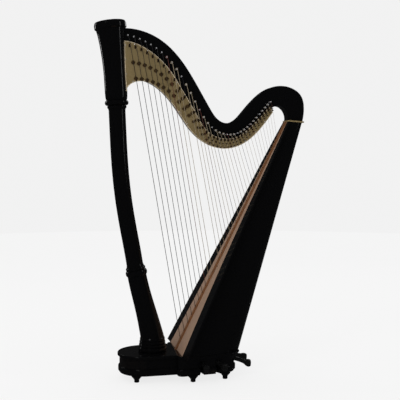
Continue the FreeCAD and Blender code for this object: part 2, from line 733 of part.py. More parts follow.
def neck_blank():
    """The neck's outline as a board of its full thickness, rounded along its upper edges."""
    under = raised(PLATE_FOOT[:-1], ACTION_SLOT)
    inside = curve([(under[0][0] - 6.0, under[0][1])] + under[1:] + KNEE_INSIDE[::-1])
    wood = slab(closed(curve(NECK_TOP), inside), -NECK_HALF, NECK_HALF)
    upper = [edge for edge in wood.Edges
             if edge.Length > REACH and abs(abs(edge.CenterOfMass.y) - NECK_HALF) < 0.1
             and edge.CenterOfMass.z > at(0, 76).z]
    return wood.makeFillet(NECK_FILLET, upper)


def neck(column_head):
    """The wooden neck, let in for both plates and bored for the pins."""
    lets_in = [left_slab(), right_slab()]
    bores = []
    for k in range(STRINGS):
        centre = pin_centre(k)
        start = V(centre.x, -NECK_HALF - 1, centre.z)
        bores.append(Part.makeCylinder(PIN_RADIUS + FIT, 2 * NECK_HALF + 2, start, V(0, 1, 0)))
    wood = neck_blank().cut(lets_in).cut(bores).cut(column_head)
    add("neck", largest(wood))


def action_plates(column_head):
    """The two plates; the strings' one is bored for the disc spindles."""
    bores = []
    for k in range(STRINGS):
        for share in (NATURAL_AT, SHARP_AT):
            centre = disc_centre(k, share)
            start = V(centre.x, -PLATE_FACE - 1, centre.z)
            bores.append(Part.makeCylinder(SPINDLE_RADIUS + FIT, PLATE + 2, start, V(0, 1, 0)))
    left, right = left_slab().cut(bores + column_head), right_slab().cut(column_head)
    add("action_plate_left", largest(left))
    add("action_plate_right", largest(right))


def action_rods():
    """The flat rods between the plates, one for each pedal."""
    lift = (ACTION_SLOT - ROD_HEIGHT) / 2.0
    line = PLATE_FOOT[2:-1]
    edges = closed(curve(raised(line, lift)), curve(raised(line, lift + ROD_HEIGHT)))
    middles = [(k - 3) * ROD_PITCH for k in range(len(NOTES))]
    half = ROD_THICKNESS / 2.0
    add("action_rods", *[slab(edges, middle - half, middle + half) for middle in middles])


# ---- soundbox ------------------------------------------------------------------------------
def taper(head, foot, s):
    """A size that changes evenly along the board, from foot at its foot to head at its head."""
    return foot + (head - foot) * s / BOARD_LENGTH


def half_space(point, up):
    """A block so large that it stands for everything on the up side of a plane."""
    big = 4.0 * (REACH + RISE)
    block = Part.makeBox(big, big, big, V(-big / 2.0, -big / 2.0, 0))
    block.Placement = FreeCAD.Placement(point, FreeCAD.Rotation(V(0, 0, 1), up))
    return block


def shoulder_line():
    """The neck's lower end, front to back: start, direction and upward normal."""
    start, end = at(*SHOULDER_FRONT), at(*SHOULDER_BACK)
    way = (end - start).normalize()
    return start, end, way, V(-way.z, 0, way.x)


def trimmed(shape):
    """A soundbox piece cut off on the base's top and under the shoulder plate."""
    start, end, way, up = shoulder_line()
    return shape.cut([half_space(V(0, 0, BASE_TOP), V(0, 0, -1)),
                      half_space(start - up * SHOULDER_THICKNESS, up)])


def outline_curve(widths, side):
    """One side of a board's outline, through (share of the length, half width)."""
    spline = Part.BSplineCurve()
    spline.interpolate([V(share * BOARD_LENGTH, side * half, 0) for share, half in widths])
    return spline


def board_plate(widths, out, thick):
    """A board symmetrical about its centre line, from out to out + thick."""
    face = face_of(closed(outline_curve(widths, 1), outline_curve(widths, -1)))
    face.translate(V(0, 0, out))
    return face.extrude(V(0, 0, thick))


def d_section(s, shrink):
    """The soundbox's cross-section at s: flat in front, round behind."""
    half = taper(BOX_HALF_HEAD, BOX_HALF_FOOT, s) - shrink
    deep = taper(BOX_DEPTH_HEAD, BOX_DEPTH_FOOT, s) - shrink
    steps = 12
    points = []
    for k in range(steps + 1):
        turn = math.pi * k / steps
        c, d = math.cos(turn), math.sin(turn)
        y = half * math.copysign(abs(c) ** (2.0 / BOX_SQUARENESS), c)
        z = -BOARD - (deep - BOARD) * abs(d) ** (2.0 / BOX_SQUARENESS)
        points.append(V(s, y, z))
    spline = Part.BSplineCurve()
    spline.interpolate(points)
    return Part.Wire([spline.toShape(), Part.LineSegment(points[-1], points[0]).toShape()])


def box_solid(shrink, s_low, s_high):
    """The soundbox's outer form, shrunk on all sides, between two places along the board."""
    return Part.makeLoft([d_section(s_low, shrink), d_section(s_high, shrink)], True, True)


def board_room():
    """The room that the soundboard takes from the soundbox."""
    return Part.makeBox(2 * BOARD_LENGTH, 4 * BOX_HALF_FOOT, BOX_DEPTH_FOOT,
                        V(-0.5 * BOARD_LENGTH, -2 * BOX_HALF_FOOT, -BOARD))


def back_strip(s_low, s_high):
    """The wedge that parts the soundbox's back from its sides."""
    wires = []
    for s in (s_low - BOX_WALL, s_high + BOX_WALL):
        half = taper(BACK_HALF_HEAD, BACK_HALF_FOOT, s)
        deep = taper(BOX_DEPTH_HEAD, BOX_DEPTH_FOOT, s)
        low, high = -deep - 2 * BOX_WALL, -deep / 2.0
        corners = [V(s, -half, low), V(s, half, low), V(s, half, high), V(s, -half, high)]
        wires.append(Part.makePolygon(corners + [corners[0]]))
    return Part.makeLoft(wires, True, True)


def sound_hole(k):
    """The long round opening in the back, numbered from the lowest."""
    s = BOARD_LENGTH * (HOLE_FIRST + HOLE_STEP * k)
    half = HOLE_WIDTH * taper(BACK_HALF_HEAD, BACK_HALF_FOOT, s)
    hole = Part.makeCylinder(half, 2 * BOX_DEPTH_FOOT, V(0, 0, -2 * BOX_DEPTH_FOOT + BOARD))
    stretch = FreeCAD.Matrix()
    stretch.scale(HOLE_STRETCH, 1.0, 1.0)
    hole = hole.transformGeometry(stretch)
    hole.translate(V(s, 0, 0))
    return hole


def box_shell():
    """The soundbox's round sides and its back with the sound holes."""
    s_low, s_high = BOX_FROM * BOARD_LENGTH, BOX_TO * BOARD_LENGTH
    inner = box_solid(BOX_WALL, s_low - BOX_WALL, s_high + BOX_WALL)
    shell = box_solid(0.0, s_low, s_high).cut(inner).cut(board_room())
    strip = back_strip(s_low, s_high)
    back = shell.common(strip).cut([sound_hole(k) for k in range(SOUND_HOLES)])
    add("soundbox_back", *trimmed(placed(back)).Solids)
    add("soundbox_sides", *trimmed(placed(shell.cut(strip))).Solids)


def braces():
    """The metal hoops inside the soundbox, half way between the sound holes."""
    hoops = []
    for k in range(SOUND_HOLES - 1):
        s = BOARD_LENGTH * (HOLE_FIRST + HOLE_STEP * (k + 0.5))
        outer = box_solid(BOX_WALL + BRACE_SEAT, s - BRACE, s + BRACE)
        inner = box_solid(BOX_WALL + BRACE_DEPTH, s - 2 * BRACE, s + 2 * BRACE)
        hoops.append(placed(outer.cut(inner).cut(board_room())))
    add("soundbox_braces", *hoops)


def board():
    """The soundboard, its lacquered border and the two string ribs, holed for the strings."""
    panel = board_plate(PANEL_HALF, -BOARD, BOARD)
    border = board_plate(BOARD_HALF, -BOARD, BOARD)
    border = border.cut(board_plate(PANEL_HALF, -BOARD - 1, BOARD + 2))
    start, length = -0.1 * BOARD_LENGTH, 1.2 * BOARD_LENGTH
    rib = Part.makeBox(length, RIB_WIDTH, RIB, V(start, -RIB_WIDTH / 2, 0))
    inner_rib = Part.makeBox(length, RIB_WIDTH, INNER_RIB,
                             V(start, -RIB_WIDTH / 2, -BOARD - INNER_RIB))
    holes = []
    for k in range(STRINGS):
        foot, way = string_ends(k)[1], speaking_way(k)[0]
        holes.append(rod(foot - way * 12.0, foot + way * 60.0, STRING_HOLE / 2.0))
    for name, shape in (("soundboard", panel), ("string_rib", rib), ("inner_rib", inner_rib)):
        add(name, *trimmed(placed(shape)).cut(holes).Solids)
    add("soundboard_border", *trimmed(placed(border)).Solids)


def shoulder():
    """The plate between the neck's lower end and the soundbox."""
    start, end, way, up = shoulder_line()
    a, b = start - way * SHOULDER_LIP, end + way * SHOULDER_LIP
    down = up * -SHOULDER_THICKNESS
    plate = Part.Face(Part.makePolygon([a, b, b + down, a + down, a]))
    half = BOX_HALF_HEAD + SHOULDER_LIP
    plate.translate(V(0, -half, 0))
    add("shoulder_plate", plate.extrude(V(0, 2 * half, 0)))


# ---- pedals --------------------------------------------------------------------------------
def pedal_arm(pedal):
    """The bar from the elbow out through the wall and down to the toe, before its pad."""
    pivot, elbow, leaving, toe, way = pedal_points(pedal)
    end = toe - way * TOE_RADIUS
    high, low = PIVOT_HEIGHT + ARM_OVER, PIVOT_HEIGHT - ARM_UNDER
    top_line = [V(elbow.x, elbow.y, high), V(leaving.x, leaving.y, high) + way * 6.0,
                V(end.x, end.y, toe.z + ARM_OVER)]
    foot_line = [V(end.x, end.y, toe.z - ARM_UNDER),
                 V(leaving.x, leaving.y, low) + way * 2.0, V(elbow.x, elbow.y, low)]
    side = V(-way.y, way.x, 0) * (ARM_WIDTH / 2.0)
    face = Part.Face(Part.makePolygon(top_line + foot_line + [top_line[0]]))
    face.translate(side * -1)
    return face.extrude(side * 2)


def pedal_solid(pedal):
    """A whole pedal: eye on the pivot, bar, elbow, arm and pad."""
    pivot, elbow, leaving, toe, way = pedal_points(pedal)
    eye_half = BAR_WIDTH / 2.0 + 0.5
    eye = Part.makeCylinder(EYE_RADIUS, 2 * eye_half, pivot - V(0, eye_half, 0), V(0, 1, 0))
    flat = V(elbow.x - pivot.x, elbow.y - pivot.y, 0)
    low, high = PIVOT_HEIGHT - BAR_HEIGHT / 2.0, PIVOT_HEIGHT + BAR_HEIGHT / 2.0
    bar = block_along(pivot, V(flat).normalize(), flat.Length, BAR_WIDTH, low, high)
    knuckle = Part.makeCylinder(BAR_WIDTH / 2.0, BAR_HEIGHT, V(elbow.x, elbow.y, low))
    pad_low, pad_high = toe.z - PAD_UNDER, toe.z + PAD_OVER
    pad = Part.makeCylinder(TOE_RADIUS, PAD_UNDER + PAD_OVER, V(toe.x, toe.y, pad_low))
    heel = block_along(toe - way * (TOE_RADIUS + 6.0), way, TOE_RADIUS + 6.0,
                       2.0 * TOE_RADIUS - 4.0, pad_high - 20.0, pad_high)
    hole = Part.makeCylinder(PIVOT_RADIUS + FIT, 4 * eye_half, pivot - V(0, 2 * eye_half, 0),
                             V(0, 1, 0))
    return eye.fuse([bar, knuckle, pedal_arm(pedal), pad, heel]).cut(hole)


def pedals():
    """The seven pedals, the pivot they share and the spring rings beside their eyes."""
    for pedal in PEDALS:
        add("pedal_" + pedal[0], pedal_solid(pedal))
    half = 3.6 * PIVOT_PITCH + 14.0
    pivot = Part.makeCylinder(PIVOT_RADIUS, 2 * half, V(PIVOT_X, -half, PIVOT_HEIGHT), V(0, 1, 0))
    height = PIVOT_HEIGHT + POST_THICKNESS - WALL_FOOT
    posts = [Part.makeBox(POST_WIDTH, POST_THICKNESS, height,
                          V(PIVOT_X - POST_WIDTH / 2.0,
                            side * (half - 7.0) - POST_THICKNESS / 2.0, WALL_FOOT))
             for side in (-1, 1)]
    add("pedal_pivot", pivot.fuse(posts))
    rings = []
    for k in range(len(PEDALS) + 1):
        y = (k - len(PEDALS) / 2.0) * PIVOT_PITCH
        start = V(PIVOT_X, y - SPRING_LENGTH / 2.0, PIVOT_HEIGHT)
        ring = Part.makeCylinder(SPRING_RADIUS, SPRING_LENGTH, start, V(0, 1, 0))
        rings.append(ring.cut(Part.makeCylinder(PIVOT_RADIUS, SPRING_LENGTH, start, V(0, 1, 0))))
    add("pedal_springs", *rings)


def write():
    """One STEP file for each named piece, with the harp's middle at X = 0."""
    os.makedirs("parts", exist_ok=True)
    for name, solids in pieces.items():
        shape = solids[0] if len(solids) == 1 else Part.makeCompound(solids)
        shape.translate(V(-MIDDLE_X, 0, 0))
        shape.exportStep("parts/" + name + ".step")


base()
feet()
head = column()
cables()
neck(head)
action_plates(head)
action_rods()
action_parts()
strings()
box_shell()
braces()
board()
shoulder()
pedals()
write()
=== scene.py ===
"""The looks of a pedal harp: finishes for its wood and metal, and its fine turned pieces.

Everything is in metres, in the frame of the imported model: +Z up, +X from the column towards the
player, -Y the side that carries the strings.
"""
import json
import logging
import math
from dataclasses import dataclass, field
from enum import Enum

import bpy
import numpy as np
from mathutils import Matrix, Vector


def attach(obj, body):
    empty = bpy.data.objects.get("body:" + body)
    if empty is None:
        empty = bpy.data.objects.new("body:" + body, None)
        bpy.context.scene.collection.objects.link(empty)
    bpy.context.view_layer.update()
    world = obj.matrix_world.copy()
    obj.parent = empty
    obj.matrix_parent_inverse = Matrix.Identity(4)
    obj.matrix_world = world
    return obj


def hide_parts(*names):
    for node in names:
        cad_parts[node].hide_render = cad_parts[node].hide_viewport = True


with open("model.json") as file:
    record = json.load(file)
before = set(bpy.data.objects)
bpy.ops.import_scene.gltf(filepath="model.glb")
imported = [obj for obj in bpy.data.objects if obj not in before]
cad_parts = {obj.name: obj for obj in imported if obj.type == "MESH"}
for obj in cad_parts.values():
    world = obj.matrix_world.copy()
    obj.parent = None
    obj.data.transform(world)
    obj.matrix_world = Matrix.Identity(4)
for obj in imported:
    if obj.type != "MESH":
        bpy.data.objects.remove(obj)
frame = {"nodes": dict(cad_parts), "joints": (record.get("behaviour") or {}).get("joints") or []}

log = logging.getLogger("harp")
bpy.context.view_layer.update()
MM = 0.001


# ---- meshes from arrays --------------------------------------------------------------------
def make_piece(name: str, points: np.ndarray, faces: list, material: bpy.types.Material,
               body: str = "frame", accents: tuple = None) -> bpy.types.Object:
    """Builds a mesh piece and sets it riding on a body.

    Args:
        name: the piece's name.
        points: vertices, one row each, in metres.
        faces: quads or triangles as an integer array, or a list of index tuples.
        material: what it is made of.
        body: the CAD body that it moves with.
        accents: more (points, faces) and the material that they have instead.

    Returns:
        The new object.
    """
    plain = len(faces)
    if accents:
        points, faces = merged([(points, faces), accents[0]])
    mesh = bpy.data.meshes.new(name)
    mesh.from_pydata(np.asarray(points, float).tolist(), [], [list(map(int, f)) for f in faces])
    mesh.update()
    mesh.materials.append(material)
    if accents:
        mesh.materials.append(accents[1])
        mesh.polygons.foreach_set("material_index", (np.arange(len(faces)) >= plain).astype(int))
    mesh.polygons.foreach_set("use_smooth", [True] * len(mesh.polygons))
    mesh.set_sharp_from_angle(angle=math.radians(40.0))
    piece = bpy.data.objects.new(name, mesh)
    bpy.context.scene.collection.objects.link(piece)
    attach(piece, body)
    return piece


def grid_faces(rows: int, columns: int, wrap_rows: bool = False,
               wrap_columns: bool = False) -> np.ndarray:
    """The quads of a rows x columns grid of points, numbered row by row.

    Args:
        rows: number of rows.
        columns: number of columns.
        wrap_rows: whether the last row joins the first.
        wrap_columns: whether the last column joins the first.

    Returns:
        An array of quads.
    """
    i = np.arange(rows if wrap_rows else rows - 1)[:, None]
    j = np.arange(columns if wrap_columns else columns - 1)[None, :]
    a = i * columns + j
    b = i * columns + (j + 1) % columns
    c = ((i + 1) % rows) * columns + (j + 1) % columns
    d = ((i + 1) % rows) * columns + j
    return np.stack([a, b, c, d], axis=-1).reshape(-1, 4)


def merged(parts: list) -> tuple:
    """Joins (points, faces) pairs into one pair.

    Args:
        parts: the pairs.

    Returns:
        One array of points and one list of faces.
    """
    points, faces, start = [], [], 0
    for part_points, part_faces in parts:
        points.append(part_points)
        faces.extend([tuple(int(k) + start for k in f) for f in part_faces])
        start += len(part_points)
    return np.concatenate(points), faces


def lathe(profile: list, centre: np.ndarray, way: np.ndarray, steps: int = 20) -> tuple:
    """A turned form: the point at height h and radius r goes round way by r (cos t, sin t).

    Args:
        profile: (radius, height) pairs, from one end to the other.
        centre: the point on the axis at height 0.
        way: the axis, along which height grows.
        steps: points round the axis.

    Returns:
        Points and faces, closed at both ends.
    """
    way = way / np.linalg.norm(way)
    helper = np.array([0.0, 0.0, 1.0]) if abs(way[2]) < 0.9 else np.array([1.0, 0.0, 0.0])
    side = np.cross(helper, way)
    side /= np.linalg.norm(side)
    other = np.cross(way, side)
    turn = np.linspace(0.0, 2.0 * math.pi, steps, endpoint=False)
    ring = np.outer(np.cos(turn), side) + np.outer(np.sin(turn), other)
    radius, height = np.array(profile, float).T
    points = (centre + height[:, None, None] * way + radius[:, None, None] * ring[None])
    points = points.reshape(-1, 3)
    faces = [tuple(f) for f in grid_faces(len(profile), steps, wrap_columns=True)]
    last = (len(profile) - 1) * steps
    faces.append(tuple(range(steps - 1, -1, -1)))
    faces.append(tuple(range(last, last + steps)))
    return points, faces


def swept(path: np.ndarray, radius: float, sides: int = 8) -> tuple:
    """A round tube along a path: each ring stands square to the path, carried on untwisted.

    Args:
        path: the points of the centre line.
        radius: the tube's radius.
        sides: points round it.

    Returns:
        Points and faces, closed at both ends.
    """
    path = np.asarray(path, float)
    ways = np.gradient(path, axis=0)
    ways /= np.linalg.norm(ways, axis=1)[:, None]
    side = np.cross(ways[0], [0.31, 0.87, 0.38])
    side /= np.linalg.norm(side)
    sides_at = []
    for way in ways:
        side = side - way * side.dot(way)
        side = side / np.linalg.norm(side)
        sides_at.append(side)
    sides_at = np.array(sides_at)
    others = np.cross(ways, sides_at)
    turn = np.linspace(0.0, 2.0 * math.pi, sides, endpoint=False)
    ring = (np.cos(turn)[None, :, None] * sides_at[:, None]
            + np.sin(turn)[None, :, None] * others[:, None])
    points = (path[:, None] + radius * ring).reshape(-1, 3)
    faces = [tuple(f) for f in grid_faces(len(path), sides, wrap_columns=True)]
    last = (len(path) - 1) * sides
    faces.append(tuple(range(sides - 1, -1, -1)))
    faces.append(tuple(range(last, last + sides)))
    return points, faces


def node_points(node: str) -> np.ndarray:
    """The vertices of a CAD node, one row each."""
    mesh = frame["nodes"][node].data
    points = np.empty(len(mesh.vertices) * 3)
    mesh.vertices.foreach_get("co", points)
    return points.reshape(-1, 3)


def node_triangles(node: str) -> tuple:
    """A CAD node's distinct vertices, and its triangles as rows of three of them.

    Args:
        node: the node's name.

    Returns:
        The vertices and the triangles.
    """
    mesh = frame["nodes"][node].data
    unique, index = np.unique(np.round(node_points(node), 6), axis=0, return_inverse=True)
    mesh.calc_loop_triangles()
    corners = np.empty(len(mesh.loop_triangles) * 3, int)
    mesh.loop_triangles.foreach_get("vertices", corners)
    return unique, index.reshape(-1)[corners].reshape(-1, 3)


def loose_parts(node: str) -> list:
    """The vertices of each separate solid of a CAD node, ordered by their middle's X.

    Points that coincide are merged, then every face gives its corners the lowest label that
    any of them has, until nothing changes.

    Args:
        node: the node's name.

    Returns:
        One array of vertices for each solid.
    """
    unique, corners = node_triangles(node)
    label = np.arange(len(unique))
    while True:
        low = label[corners].min(axis=1)
        new = label.copy()
        for k in range(3):
            np.minimum.at(new, corners[:, k], low)
        new = new[new]
        if (new == label).all():
            break
        label = new
    parts = [unique[label == k] for k in np.unique(label[corners])]
    return sorted(parts, key=lambda part: part.mean(axis=0)[0])


# ---- finishes ------------------------------------------------------------------------------
def new_group(name: str, inputs: dict, outputs: dict) -> tuple:
    """An empty shader node group with named sockets.

    Args:
        name: the group's name.
        inputs: socket name to (type, default value).
        outputs: socket name to type.

    Returns:
        The group, its input node and its output node.
    """
    group = bpy.data.node_groups.new(name, "ShaderNodeTree")
    for socket, (kind, value) in inputs.items():
        made = group.interface.new_socket(name=socket, in_out="INPUT", socket_type=kind)
        if kind != "NodeSocketVector":
            made.default_value = value
    for socket, kind in outputs.items():
        group.interface.new_socket(name=socket, in_out="OUTPUT", socket_type=kind)
    return group, group.nodes.new("NodeGroupInput"), group.nodes.new("NodeGroupOutput")


class Nodes:
    """A short way to add and join nodes in one tree."""

    def __init__(self, tree: bpy.types.NodeTree) -> None:
        """Keeps the tree."""
        self.tree = tree

    def add(self, kind: str, _values: dict = None, **settings: object) -> bpy.types.Node:
        """Adds a node with settings, and values for its input sockets by name or number.

        Args:
            kind: the node's type without ShaderNode.
            _values: default values by input socket.
            settings: values for the node's own settings.

        Returns:
            The node.
        """
        node = self.tree.nodes.new("ShaderNode" + kind)
        for key, value in settings.items():
            setattr(node, key, value)
        for key, value in (_values or {}).items():
            node.inputs[key].default_value = value
        return node

    def join(self, source: bpy.types.NodeSocket, target: bpy.types.NodeSocket) -> None:
        """Joins two sockets."""
        self.tree.links.new(source, target)

    def math(self, operation: str, a: object, b: object = 0.0) -> bpy.types.NodeSocket:
        """A Math node on two sockets or numbers; returns its result.

        Args:
            operation: the operation.
            a: first socket or number.
            b: second socket or number.

        Returns:
            The result.
        """
        node = self.add("Math", operation=operation)
        for k, value in enumerate((a, b)):
            if isinstance(value, bpy.types.NodeSocket):
                self.join(value, node.inputs[k])
            else:
                node.inputs[k].default_value = value
        return node.outputs[0]

    def ramp(self, factor: bpy.types.NodeSocket, low: float, high: float, out_low: float = 0.0,
             out_high: float = 1.0) -> bpy.types.NodeSocket:
        """A smooth Map Range of a factor; returns its result.

        Args:
            factor: what is mapped.
            low: where the result is out_low.
            high: where the result is out_high.
            out_low: the result at low.
            out_high: the result at high.

        Returns:
            The result.
        """
        node = self.add("MapRange", {"From Min": low, "From Max": high, "To Min": out_low,
                                     "To Max": out_high}, interpolation_type="SMOOTHSTEP")
        self.join(factor, node.inputs["Value"])
        return node.outputs[0]

    def mix(self, factor: object, a: object, b: object) -> bpy.types.NodeSocket:
        """A colour mix of two sockets or colours; returns its result.

        Args:
            factor: share of b.
            a: first socket or colour.
            b: second socket or colour.

        Returns:
            The mixed colour.
        """
        node = self.add("Mix", data_type="RGBA")
        for socket, value in ((node.inputs[0], factor), (node.inputs[6], a), (node.inputs[7], b)):
            if isinstance(value, bpy.types.NodeSocket):
                self.join(value, socket)
            else:
                socket.default_value = value
        return node.outputs[2]


def stretched_noise(n: Nodes, coordinates: bpy.types.NodeSocket, scale: tuple, detail: float,
                    roughness: float = 0.55, distortion: float = 0.0) -> bpy.types.NodeSocket:
    """Noise on coordinates scaled by a different amount along each axis; returns its value.

    Args:
        n: the tree to add to.
        coordinates: where the noise is read.
        scale: how fine it is along X, Y and Z.
        detail: octaves.
        roughness: strength of the finer octaves.
        distortion: how much it swirls.

    Returns:
        The noise.
    """
    mapping = n.add("Mapping", {"Scale": scale})
    n.join(coordinates, mapping.inputs["Vector"])
    noise = n.add("TexNoise", {"Scale": 1.0, "Detail": detail, "Roughness": roughness,
                               "Distortion": distortion})
    n.join(mapping.outputs[0], noise.inputs["Vector"])
    return noise.outputs[0]


def surface_group() -> bpy.types.NodeTree:
    """Handling marks: a cloudy mask and fine scratches, shared by every polished finish.

    Returns:
        The group.
    """
    group, inside, out = new_group(
        "handling_marks",
        {"Vector": ("NodeSocketVector", None), "Cloud Scale": ("NodeSocketFloat", 9.0),
         "Scratch Scale": ("NodeSocketFloat", 120.0), "Amount": ("NodeSocketFloat", 1.0)},
        {"Clouds": "NodeSocketFloat", "Scratches": "NodeSocketFloat"})
    n = Nodes(group)
    cloud = n.add("TexNoise", {"Detail": 6.0, "Roughness": 0.62})
    n.join(inside.outputs["Vector"], cloud.inputs["Vector"])
    n.join(inside.outputs["Cloud Scale"], cloud.inputs["Scale"])
    clouds = n.ramp(cloud.outputs[0], 0.38, 0.72)
    n.join(n.math("MULTIPLY", clouds, inside.outputs["Amount"]), out.inputs["Clouds"])
    turned = n.add("Mapping", {"Rotation": (0.4, 0.9, 0.3), "Scale": (1.0, 0.06, 1.0)})
    n.join(inside.outputs["Vector"], turned.inputs["Vector"])
    scratch = n.add("TexNoise", {"Detail": 2.0, "Roughness": 0.5})
    n.join(turned.outputs[0], scratch.inputs["Vector"])
    n.join(inside.outputs["Scratch Scale"], scratch.inputs["Scale"])
    thin = n.ramp(scratch.outputs[0], 0.66, 0.74)
    n.join(n.math("MULTIPLY", thin, inside.outputs["Amount"]), out.inputs["Scratches"])
    return group


def wear_group() -> bpy.types.NodeTree:
    """Edge wear: a mask that is 1 on proud edges, broken up by noise.

    Returns:
        The group.
    """
    group, inside, out = new_group(
        "edge_wear",
        {"Vector": ("NodeSocketVector", None), "Low": ("NodeSocketFloat", 0.54),
         "High": ("NodeSocketFloat", 0.62), "Break Up": ("NodeSocketFloat", 60.0)},
        {"Mask": "NodeSocketFloat"})
    n = Nodes(group)
    geometry = n.add("NewGeometry")
    noise = n.add("TexNoise", {"Detail": 4.0, "Roughness": 0.6})
    n.join(inside.outputs["Vector"], noise.inputs["Vector"])
    n.join(inside.outputs["Break Up"], noise.inputs["Scale"])
    edge = n.add("MapRange", interpolation_type="SMOOTHSTEP")
    n.join(geometry.outputs["Pointiness"], edge.inputs["Value"])
    n.join(inside.outputs["Low"], edge.inputs["From Min"])
    n.join(inside.outputs["High"], edge.inputs["From Max"])
    broken = n.ramp(noise.outputs[0], 0.35, 0.65)
    n.join(n.math("MULTIPLY", edge.outputs[0], broken), out.inputs["Mask"])
    return group


def grain_group() -> bpy.types.NodeTree:
    """Straight wood grain: annual lines across one axis, fibres along another.

    Returns:
        The group.
    """
    group, inside, out = new_group(
        "straight_grain",
        {"Vector": ("NodeSocketVector", None), "Lines": ("NodeSocketFloat", 300.0),
         "Waver": ("NodeSocketFloat", 0.5), "Fibres": ("NodeSocketFloat", 1600.0)},
        {"Lines": "NodeSocketFloat", "Fibres": "NodeSocketFloat", "Blotches": "NodeSocketFloat"})
    n = Nodes(group)
    split = n.add("SeparateXYZ")
    n.join(inside.outputs["Vector"], split.inputs[0])
    waver = stretched_noise(n, inside.outputs["Vector"], (8.0, 8.0, 1.5), 3.0)
    bent = n.math("ADD", n.math("MULTIPLY", split.outputs[1], inside.outputs["Lines"]),
                  n.math("MULTIPLY", waver, inside.outputs["Waver"]))
    spacing = n.math("ADD", bent, n.math("MULTIPLY", n.math("SINE", n.math(
        "MULTIPLY", bent, 0.13)), 1.6))
    wave = n.math("SINE", spacing)
    n.join(n.ramp(wave, -0.6, 1.0), out.inputs["Lines"])
    fibre_map = n.add("Mapping", {"Scale": (1.0, 1.0, 0.03)})
    n.join(inside.outputs["Vector"], fibre_map.inputs["Vector"])
    fibre = n.add("TexNoise", {"Detail": 3.0, "Roughness": 0.6})
    n.join(fibre_map.outputs[0], fibre.inputs["Vector"])
    n.join(inside.outputs["Fibres"], fibre.inputs["Scale"])
    n.join(fibre.outputs[0], out.inputs["Fibres"])
    blotch = stretched_noise(n, inside.outputs["Vector"], (5.0, 14.0, 2.2), 4.0)
    n.join(blotch, out.inputs["Blotches"])
    return group


HANDLING = surface_group()
WEAR = wear_group()
GRAIN = grain_group()


BOARD_LEAN = 26.645        # the soundboard's lean from upright, in degrees
NOTES = 7                  # strings in an octave
C_NOTE, F_NOTE = 0, 3      # the coloured strings, counted up from the lowest C


class StringKind(Enum):
    """What a string is made of, and how it is coloured."""

    WIRE = "wire"
    RED = "red"
    BLACK = "black"
    NATURAL = "natural"


def blank(name: str) -> tuple:
    """A new material with a Principled surface.

    Args:
        name: the material's name.

    Returns:
        The material, its Nodes helper, its Principled node and the Object coordinates.
    """
    material = bpy.data.materials.new(name)
    material.use_nodes = True
    n = Nodes(material.node_tree)
    principled = material.node_tree.nodes["Principled BSDF"]
    coordinates = n.add("TexCoord").outputs["Object"]
    return material, n, principled, coordinates


def use_group(n: Nodes, group: bpy.types.NodeTree, coordinates: bpy.types.NodeSocket,
              **values: float) -> bpy.types.Node:
    """Places a node group on coordinates with its own values (named with _ for a space).

    Args:
        n: the tree to add to.
        group: the group to place.
        coordinates: what its Vector input reads.
        values: numbers for the group's other inputs.

    Returns:
        The placed node.
    """
    node = n.add("Group")
    node.node_tree = group
    n.join(coordinates, node.inputs["Vector"])
    for key, value in values.items():
        node.inputs[key.replace("_", " ")].default_value = value
    return node


def bumped(n: Nodes, principled: bpy.types.Node, height: bpy.types.NodeSocket, distance: float,
           strength: float = 1.0) -> None:
    """Feeds a height, in metres at full strength, to a surface's normal.

    Args:
        n: the tree to add to.
        principled: the surface.
        height: the height.
        distance: how high 1 is, in metres.
        strength: how much of it shows.
    """
    bump = n.add("Bump", {"Distance": distance, "Strength": strength})
    n.join(height, bump.inputs["Height"])
    n.join(bump.outputs[0], principled.inputs["Normal"])


@dataclass(frozen=True)
class Lacquer:
    """Polished lacquer or enamel over wood or steel.

    Args:
        name: the material's name.
        colour: its colour, dark.
        worn: the colour that shows on worn edges.
        gloss: roughness of the clean surface.
        specular: how strongly it mirrors.
    """

    name: str
    colour: tuple
    worn: tuple
    gloss: float = 0.07
    specular: float = 0.28

    def build(self) -> bpy.types.Material:
        """Makes the material."""
        material, n, surface, where = blank(self.name)
        marks = use_group(n, HANDLING, where, Cloud_Scale=7.0, Scratch_Scale=160.0, Amount=1.0)
        worn = use_group(n, WEAR, where, Low=0.60, High=0.74, Break_Up=90.0)
        colour = n.mix(n.math("MULTIPLY", worn.outputs["Mask"], 0.35), self.colour, self.worn)
        n.join(colour, surface.inputs["Base Color"])
        rough = n.math("ADD", n.math("MULTIPLY", marks.outputs["Clouds"], 0.06),
                       n.math("MULTIPLY", marks.outputs["Scratches"], 0.10))
        n.join(n.math("ADD", rough, self.gloss), surface.inputs["Roughness"])
        surface.inputs["Specular IOR Level"].default_value = self.specular
        peel = stretched_noise(n, where, (260.0, 260.0, 260.0), 2.0)
        bumped(n, surface, peel, 0.00004, 0.35)
        return material


